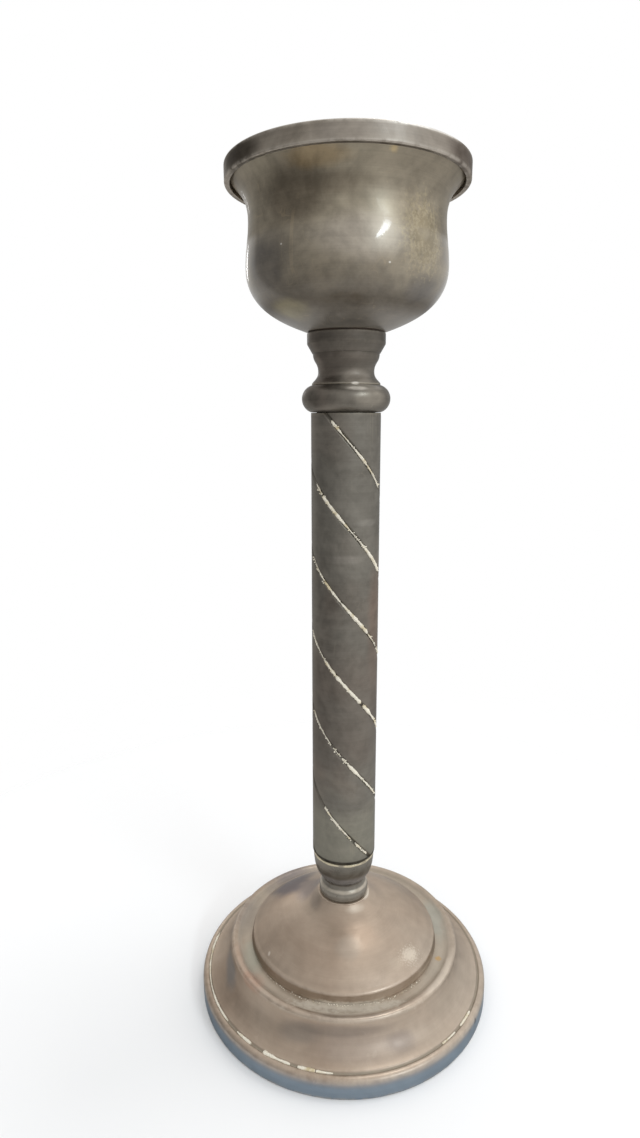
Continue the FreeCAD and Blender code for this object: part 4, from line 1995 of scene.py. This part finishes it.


# The candlestick's own finishes, with painted light and shade in their patches, and the whole of it

COLUMN_BRASS = AgedBrass(
    name="column_patina_and_painted_shade",
    dark=(98, 94, 87),
    mid=(116, 112, 104),
    light=(132, 127, 117),
    tint=(122, 106, 94),
    worn=(186, 174, 150),
    line_shade=0.03,
    wear=0.15,
    patches=(
        Patch((7.5, -9.7, 189.6), (7, 5, 1.8), (150, 146, 138), 0.35, 1.0),
        Patch((-0.5, -12.2, 177), (8, 4, 2.2), (150, 144, 136), 0.3, 1.0),
        Patch((11, -5, 150), (5, 10, 36), (132, 110, 96), 0.45),
        Patch((-9, 9, 110), (9, 9, 30), (128, 108, 96), 0.4),
        Patch((12.2, 68), (4, 17), (138, 135, 122), 0.6),
        Patch((12.2, 122), (4, 34), (104, 98, 91), 0.45),
        # Dark line round the foot of the column: partly dirt in the joint, partly painted shadow of
        # the seam gap.
        Patch((12.2, 58.3), (4, 1.1), (28, 26, 23), 0.95, 0.3, 60.0),
    ),
)
RING_BRASS = AgedBrass(
    name="ring_patina_and_painted_light",
    dark=(92, 87, 80),
    mid=(108, 103, 95),
    light=(124, 118, 108),
    tint=(118, 104, 94),
    worn=(186, 176, 158),
    rough=(0.3, 0.42),
    wear=0.12,
    patches=(
        Patch((13, 250), (7, 5), (88, 83, 76), 0.6),
        # Lighter, less mirroring patch on the front of the neck's lower flare: painted reflection
        # of bright light past the cup.
        Patch((4, -11, 238.6), (10, 6, 3.6), (152, 143, 131), 0.8, 0.5, 120.0, 0.7),
        Patch((-3, -10, 243.5), (9, 6, 4), (92, 86, 79), 0.5, 0.5),
        # Darker patch on the ring's left: painted shade.
        Patch((-12, -9, 231), (6, 8, 6), (80, 77, 71), 0.55, 0.4),
        # Lighter patch on the ring's front right: painted light.
        Patch((8, -13, 232), (9, 7, 4), (146, 139, 127), 0.6, 0.4),
        # Lighter, less mirroring band on the ring's top: painted reflection in place of the cup's
        # dark reflection.
        Patch((6, -12, 235.4), (12, 8, 1.6), (148, 140, 128), 0.75, 0.4, 120.0, 0.7),
        # Pale line round the ring-neck junction: painted highlight.
        Patch((12, 236.5), (1.2, 0.4), (190, 182, 164), 0.4, 1.2, 200.0),
        # Bright spot at the junction: painted highlight.
        Patch((2.6, -11.8, 236.6), (1.7, 2, 0.7), (244, 238, 228), 0.85, 0.4, 120.0, 0.7),
        # Long light streak on the ring's top: painted highlight.
        Patch((3.2, -13.6, 234.9), (5, 3, 0.9), (208, 200, 188), 0.6, 0.4, 120.0, 0.4),
    ),
)
KNOP_BRASS = AgedBrass(
    name="knop_patina_and_painted_light",
    dark=(112, 108, 100),
    mid=(134, 128, 119),
    light=(150, 143, 133),
    tint=(128, 126, 112),
    worn=(196, 186, 164),
    rough=(0.26, 0.38),
    wear=0.15,
    patches=(
        # Cool grey, less mirroring patch under the bulb: painted reflection in place of the dome's
        # brown one.
        Patch((10, 48.8), (3, 3), (120, 116, 114), 0.8, 0.4, 120.0, 0.7),
        # Lighter, less mirroring band on the bead: painted light.
        Patch((9.7, 41), (2, 1.8), (142, 136, 126), 0.6, 0.4, 120.0, 0.5),
        # Pale line on the bead's shoulder: painted highlight.
        Patch((9.3, 43.6), (1.6, 0.9), (196, 186, 170), 0.6, 0.6, 120.0, 0.3),
        # Cream line on the lip: partly rubbed brass, partly painted highlight.
        Patch((11.8, 57.1), (1.2, 0.6), (216, 204, 174), 0.8, 1.7, 260.0),
        Patch((-1.4, -11.8, 57.1), (1.6, 2, 0.7), (128, 122, 112), 0.8, 0.8),
        Patch((7.4, -9.2, 57.1), (2.2, 2, 0.7), (136, 128, 112), 0.75, 0.8),
    ),
)
CUP_BRASS = AgedBrass(
    name="cup_patina_and_painted_light",
    dark=(112, 104, 90),
    mid=(138, 129, 113),
    light=(158, 149, 130),
    tint=(142, 124, 99),
    tint_share=0.4,
    cloud_scale=22.0,
    line_shade=0.03,
    mottle=0.2,
    rough=(0.33, 0.45),
    pits=0.3,
    coat=0.6,
    coat_span=(260.0, 281.5),
    patches=(
        # Darker towards the bottom of the bowl: painted dark reflection of the surroundings below.
        Patch((33, 255), (60, 16), (90, 84, 76), 0.9, 0.4, 60.0),
        # Dark patch on the upper left of the flare: painted dark reflection.
        Patch((-16, -29, 290), (17, 14, 11), (98, 88, 74), 0.75, 0.5, 60.0),
        Patch((-28, 16, 288), (14, 14, 9), (100, 90, 76), 0.6, 0.5, 60.0),
        # Dark patch on the left of the belly: painted dark reflection.
        Patch((-27, -21, 271), (13, 15, 13), (94, 89, 84), 0.78, 0.5, 60.0),
        # Dark patch on the front of the flare: painted dark reflection.
        Patch((-5, -32, 291.5), (15, 6, 5), (102, 92, 78), 0.6, 0.4, 60.0),
        # Cool dark patch low on the right: painted dark reflection.
        Patch((23, -21, 264.5), (10, 9, 6), (86, 84, 84), 0.5, 0.5, 60.0),
        # Light oval on the belly and its upper right: painted reflection.
        Patch((5, -33, 277.5), (21, 9, 9), (162, 153, 140), 0.7, 0.5, 60.0),
        Patch((17, -28.5, 284.5), (12, 9, 8), (160, 148, 128), 0.5, 0.4, 60.0),
        Patch((-8, 32, 280), (16, 10, 9), (166, 156, 138), 0.6, 0.4, 60.0),
        Patch((23, -25, 279), (11, 12, 13), (170, 158, 130), 0.55, 2.0, 900.0),
        Patch((23, -25, 279), (7, 8, 9), (116, 104, 80), 0.4, 3.4, 1100.0),
        Patch((26, 20, 284), (8, 9, 9), (166, 150, 116), 0.5, 2.0, 900.0),
        # Golden-brown patch under the flare: painted reflection.
        Patch((-11, -34, 298), (14, 9, 4), (152, 126, 84), 0.45),
        # Lighter, less mirroring ring round the bottom: painted light over the shade and dark
        # reflection of the neck and ring.
        Patch((16, 255), (16, 9), (122, 116, 107), 0.8, 0.4, 60.0, 0.6),
        # Olive patch low on the left: painted sheen.
        Patch((-18.6, -16.2, 259), (10, 10, 5), (144, 136, 108), 0.5),
        # Small amber spot on the flare: painted glint.
        Patch((12, -36, 299), (2, 3, 1.6), (206, 180, 128), 0.4, 1.0, 400.0),
        Patch((-20.6, -26.8, 276.1), (0.5, 0.5, 0.4), (220, 216, 208), 0.7),
        Patch((11.5, -31.5, 270), (0.5, 0.5, 0.4), (220, 216, 208), 0.7),
    ),
)
BASE_BRASS = AgedBrass(
    name="base_patina_and_painted_light",
    dark=(156, 138, 121),
    mid=(174, 157, 140),
    light=(186, 170, 154),
    tint=(158, 150, 138),
    tint_share=0.35,
    worn=(212, 198, 180),
    grime_colour=(152, 144, 128),
    line_shade=0.02,
    mottle=0.06,
    pits=0.25,
    rough=(0.36, 0.46),
    patches=(
        # Blue-grey band round the foot's side: painted reflection of a bluish floor.
        Patch((57.2, 1.5), (3, 6.8), (118, 138, 154), 0.82, 0.12),
        Patch((39.0, 19.2), (3.0, 0.8), (182, 174, 158), 0.4, 1.4, 110.0),
        # Lighter, less mirroring ring on the roll's inner slope: painted light over the shade and
        # dirt of that corner.
        Patch((42, 19.7), (2.2, 0.8), (168, 156, 140), 0.7, 0.4, 120.0, 0.7),
        Patch((54.4, 7.6), (1, 0.8), (150, 138, 122), 0.7, 0.4, 120.0, 0.5),
        # Pale patches on the front of the channel: partly chalky residue, partly painted light over
        # the channel's shade.
        Patch((0, -37.6, 19.2), (30, 4, 1.2), (206, 198, 182), 0.5, 2.2, 620.0, 0.8),
        Patch((0, -39, 19.2), (34, 6, 1.2), (172, 162, 147), 0.5, 0.6, 120.0, 0.6),
        # Pinkish light patch on the roll's left: painted reflection of a bright sky.
        Patch((-40, -18, 20.2), (6, 16, 2.4), (188, 160, 140), 0.5, 0.4),
        Patch((-36, -14, 19.2), (7, 14, 1.5), (160, 162, 148), 0.55, 0.8),
        Patch((38, 6, 19.2), (6, 16, 1.5), (164, 166, 156), 0.55, 0.8),
        # Dark blue-grey patches on the dome's back left: painted dark reflection.
        Patch((-22, 18, 29), (14, 14, 8), (92, 88, 94), 0.75, 0.9, 70.0),
        Patch((-13, 8, 34), (10, 12, 6), (112, 106, 108), 0.6, 0.9, 70.0),
        # Darker patch left of the crown: painted shade.
        Patch((-11.5, -4, 37), (4, 7, 4), (130, 121, 112), 0.55, 0.4),
        # Light arc on the crown's front right: painted highlight.
        Patch((5.6, -11, 37.6), (6.5, 4, 1.5), (200, 188, 172), 0.4, 0.4),
        # Dark patch on the foot's back left: painted dark reflection.
        Patch((-28, 38, 16), (24, 17, 9), (114, 108, 111), 0.7, 0.9, 60.0),
        Patch((-43, 12, 18), (10, 18, 8), (134, 125, 118), 0.5, 0.4),
        # Darker patch in the cove's hollow on the left: painted shade.
        Patch((-44.5, -15, 14.5), (4, 13, 5), (112, 114, 116), 0.6, 0.9, 70.0),
        Patch((-18, -44, 14), (14, 5, 4), (132, 124, 116), 0.5, 0.4),
        Patch((4, -47, 12), (22, 8, 7), (156, 142, 131), 0.5, 0.5),
        Patch((18.4, -45.1, 11.6), (9, 6, 4), (146, 133, 123), 0.7, 0.5, 120.0, 0.5),
        Patch((1.2, -23, 31), (7, 7, 4.5), (156, 146, 134), 0.5, 0.5),
        # Dark band along the cove's top at the front: painted shadow under the roll.
        Patch((-6, -45.6, 16.4), (34, 7, 2.6), (124, 113, 104), 0.55, 0.3),
        Patch((0, -43.4, 20.2), (26, 3, 2), (158, 146, 134), 0.5, 0.5),
        # Light line on the roll's crest at the right: painted highlight.
        Patch((36, -26, 20.3), (14, 18, 0.7), (218, 206, 190), 0.5, 0.3),
        # Small bright streak on the dome's left: painted glint.
        Patch((-29.1, -18.4, 24.1), (0.7, 1.2, 1.6), (226, 216, 202), 0.6, 0.8, 300.0),
        # Bright line on the crown beside the bead: painted highlight.
        Patch((9.4, -4.6, 39.2), (2.4, 6, 0.9), (236, 228, 214), 0.7, 0.4),
        Patch((24, 42, 12), (14, 10, 8), (140, 142, 132), 0.5),
        Patch((-35.6, -28, 20), (7, 8, 3), (182, 144, 124), 0.5),
        # Soft glows and specks on the dome's front right: painted speckled highlight.
        Patch((18.6, -25.4, 26), (5.5, 3.4, 2.4), (196, 182, 164), 0.25, 0.6, 260.0),
        Patch((24.6, -20.8, 25.8), (5, 4, 2.8), (206, 194, 177), 0.26, 0.6, 260.0),
        Patch((24.6, -20.8, 25.8), (6, 4.5, 2.6), (234, 225, 209), 0.28, 3.4, 1700.0),
        Patch((36.5, -15.3, 19.6), (1.6, 1.6, 1.6), (190, 150, 84), 0.65, 1.0, 700.0),
        Patch((48.1, -30.8, 5.5), (0.9, 0.9, 1.6), (52, 54, 60), 0.9, 0.8, 600.0),
    ),
)
BAND_BRASS = AgedBrass(
    name="band_patina_and_painted_light",
    dark=(122, 114, 105),
    mid=(148, 140, 130),
    light=(164, 156, 145),
    tint=(136, 126, 110),
    worn=(210, 202, 190),
    wear=0.35,
    grazing=0.25,
    patches=(
        # Dark patches at the band's left and right ends: painted shade.
        Patch((-33, -22, 302), (11, 16, 6), (68, 62, 54), 0.9, 0.3),
        Patch((34, -20, 302), (11, 17, 6), (104, 95, 87), 0.85, 0.3),
        Patch((-20, 34, 302), (14, 10, 6), (112, 104, 95), 0.7, 0.3),
        Patch((39.9, 305), (1.2, 0.5), (216, 210, 200), 0.6, 1.2, 60.0),
        # Bright stretch on the top edge at the front right: painted highlight.
        Patch((20, -34, 305), (20, 16, 0.8), (242, 238, 232), 0.85, 0.6),
    ),
)


def main() -> None:
    """Build the candlestick and its studio, and report each piece."""
    logging.basicConfig(level=logging.INFO, format="%(name)s: %(message)s")
    polish = DriedPolish("dried_polish").material()
    steel, leather = DullSteel("fixing_zinc").material(), OldLeather("washer_leather").material()
    pieces = [
        *Base().build(BASE_BRASS.material(), KNOP_BRASS.material(), polish),
        *Stem().build(COLUMN_BRASS.material(), RING_BRASS.material(), polish),
        *Cup().build(CUP_BRASS.material(), BAND_BRASS.material()),
        *Fixings().build(steel, leather),
    ]
    for piece in pieces:
        faces = len(piece.data.polygons)
        LOG.info("%s, %s, %d faces", piece.name, piece.active_material.name, faces)
    Studio().build()


if __name__ == "__main__":
    main()
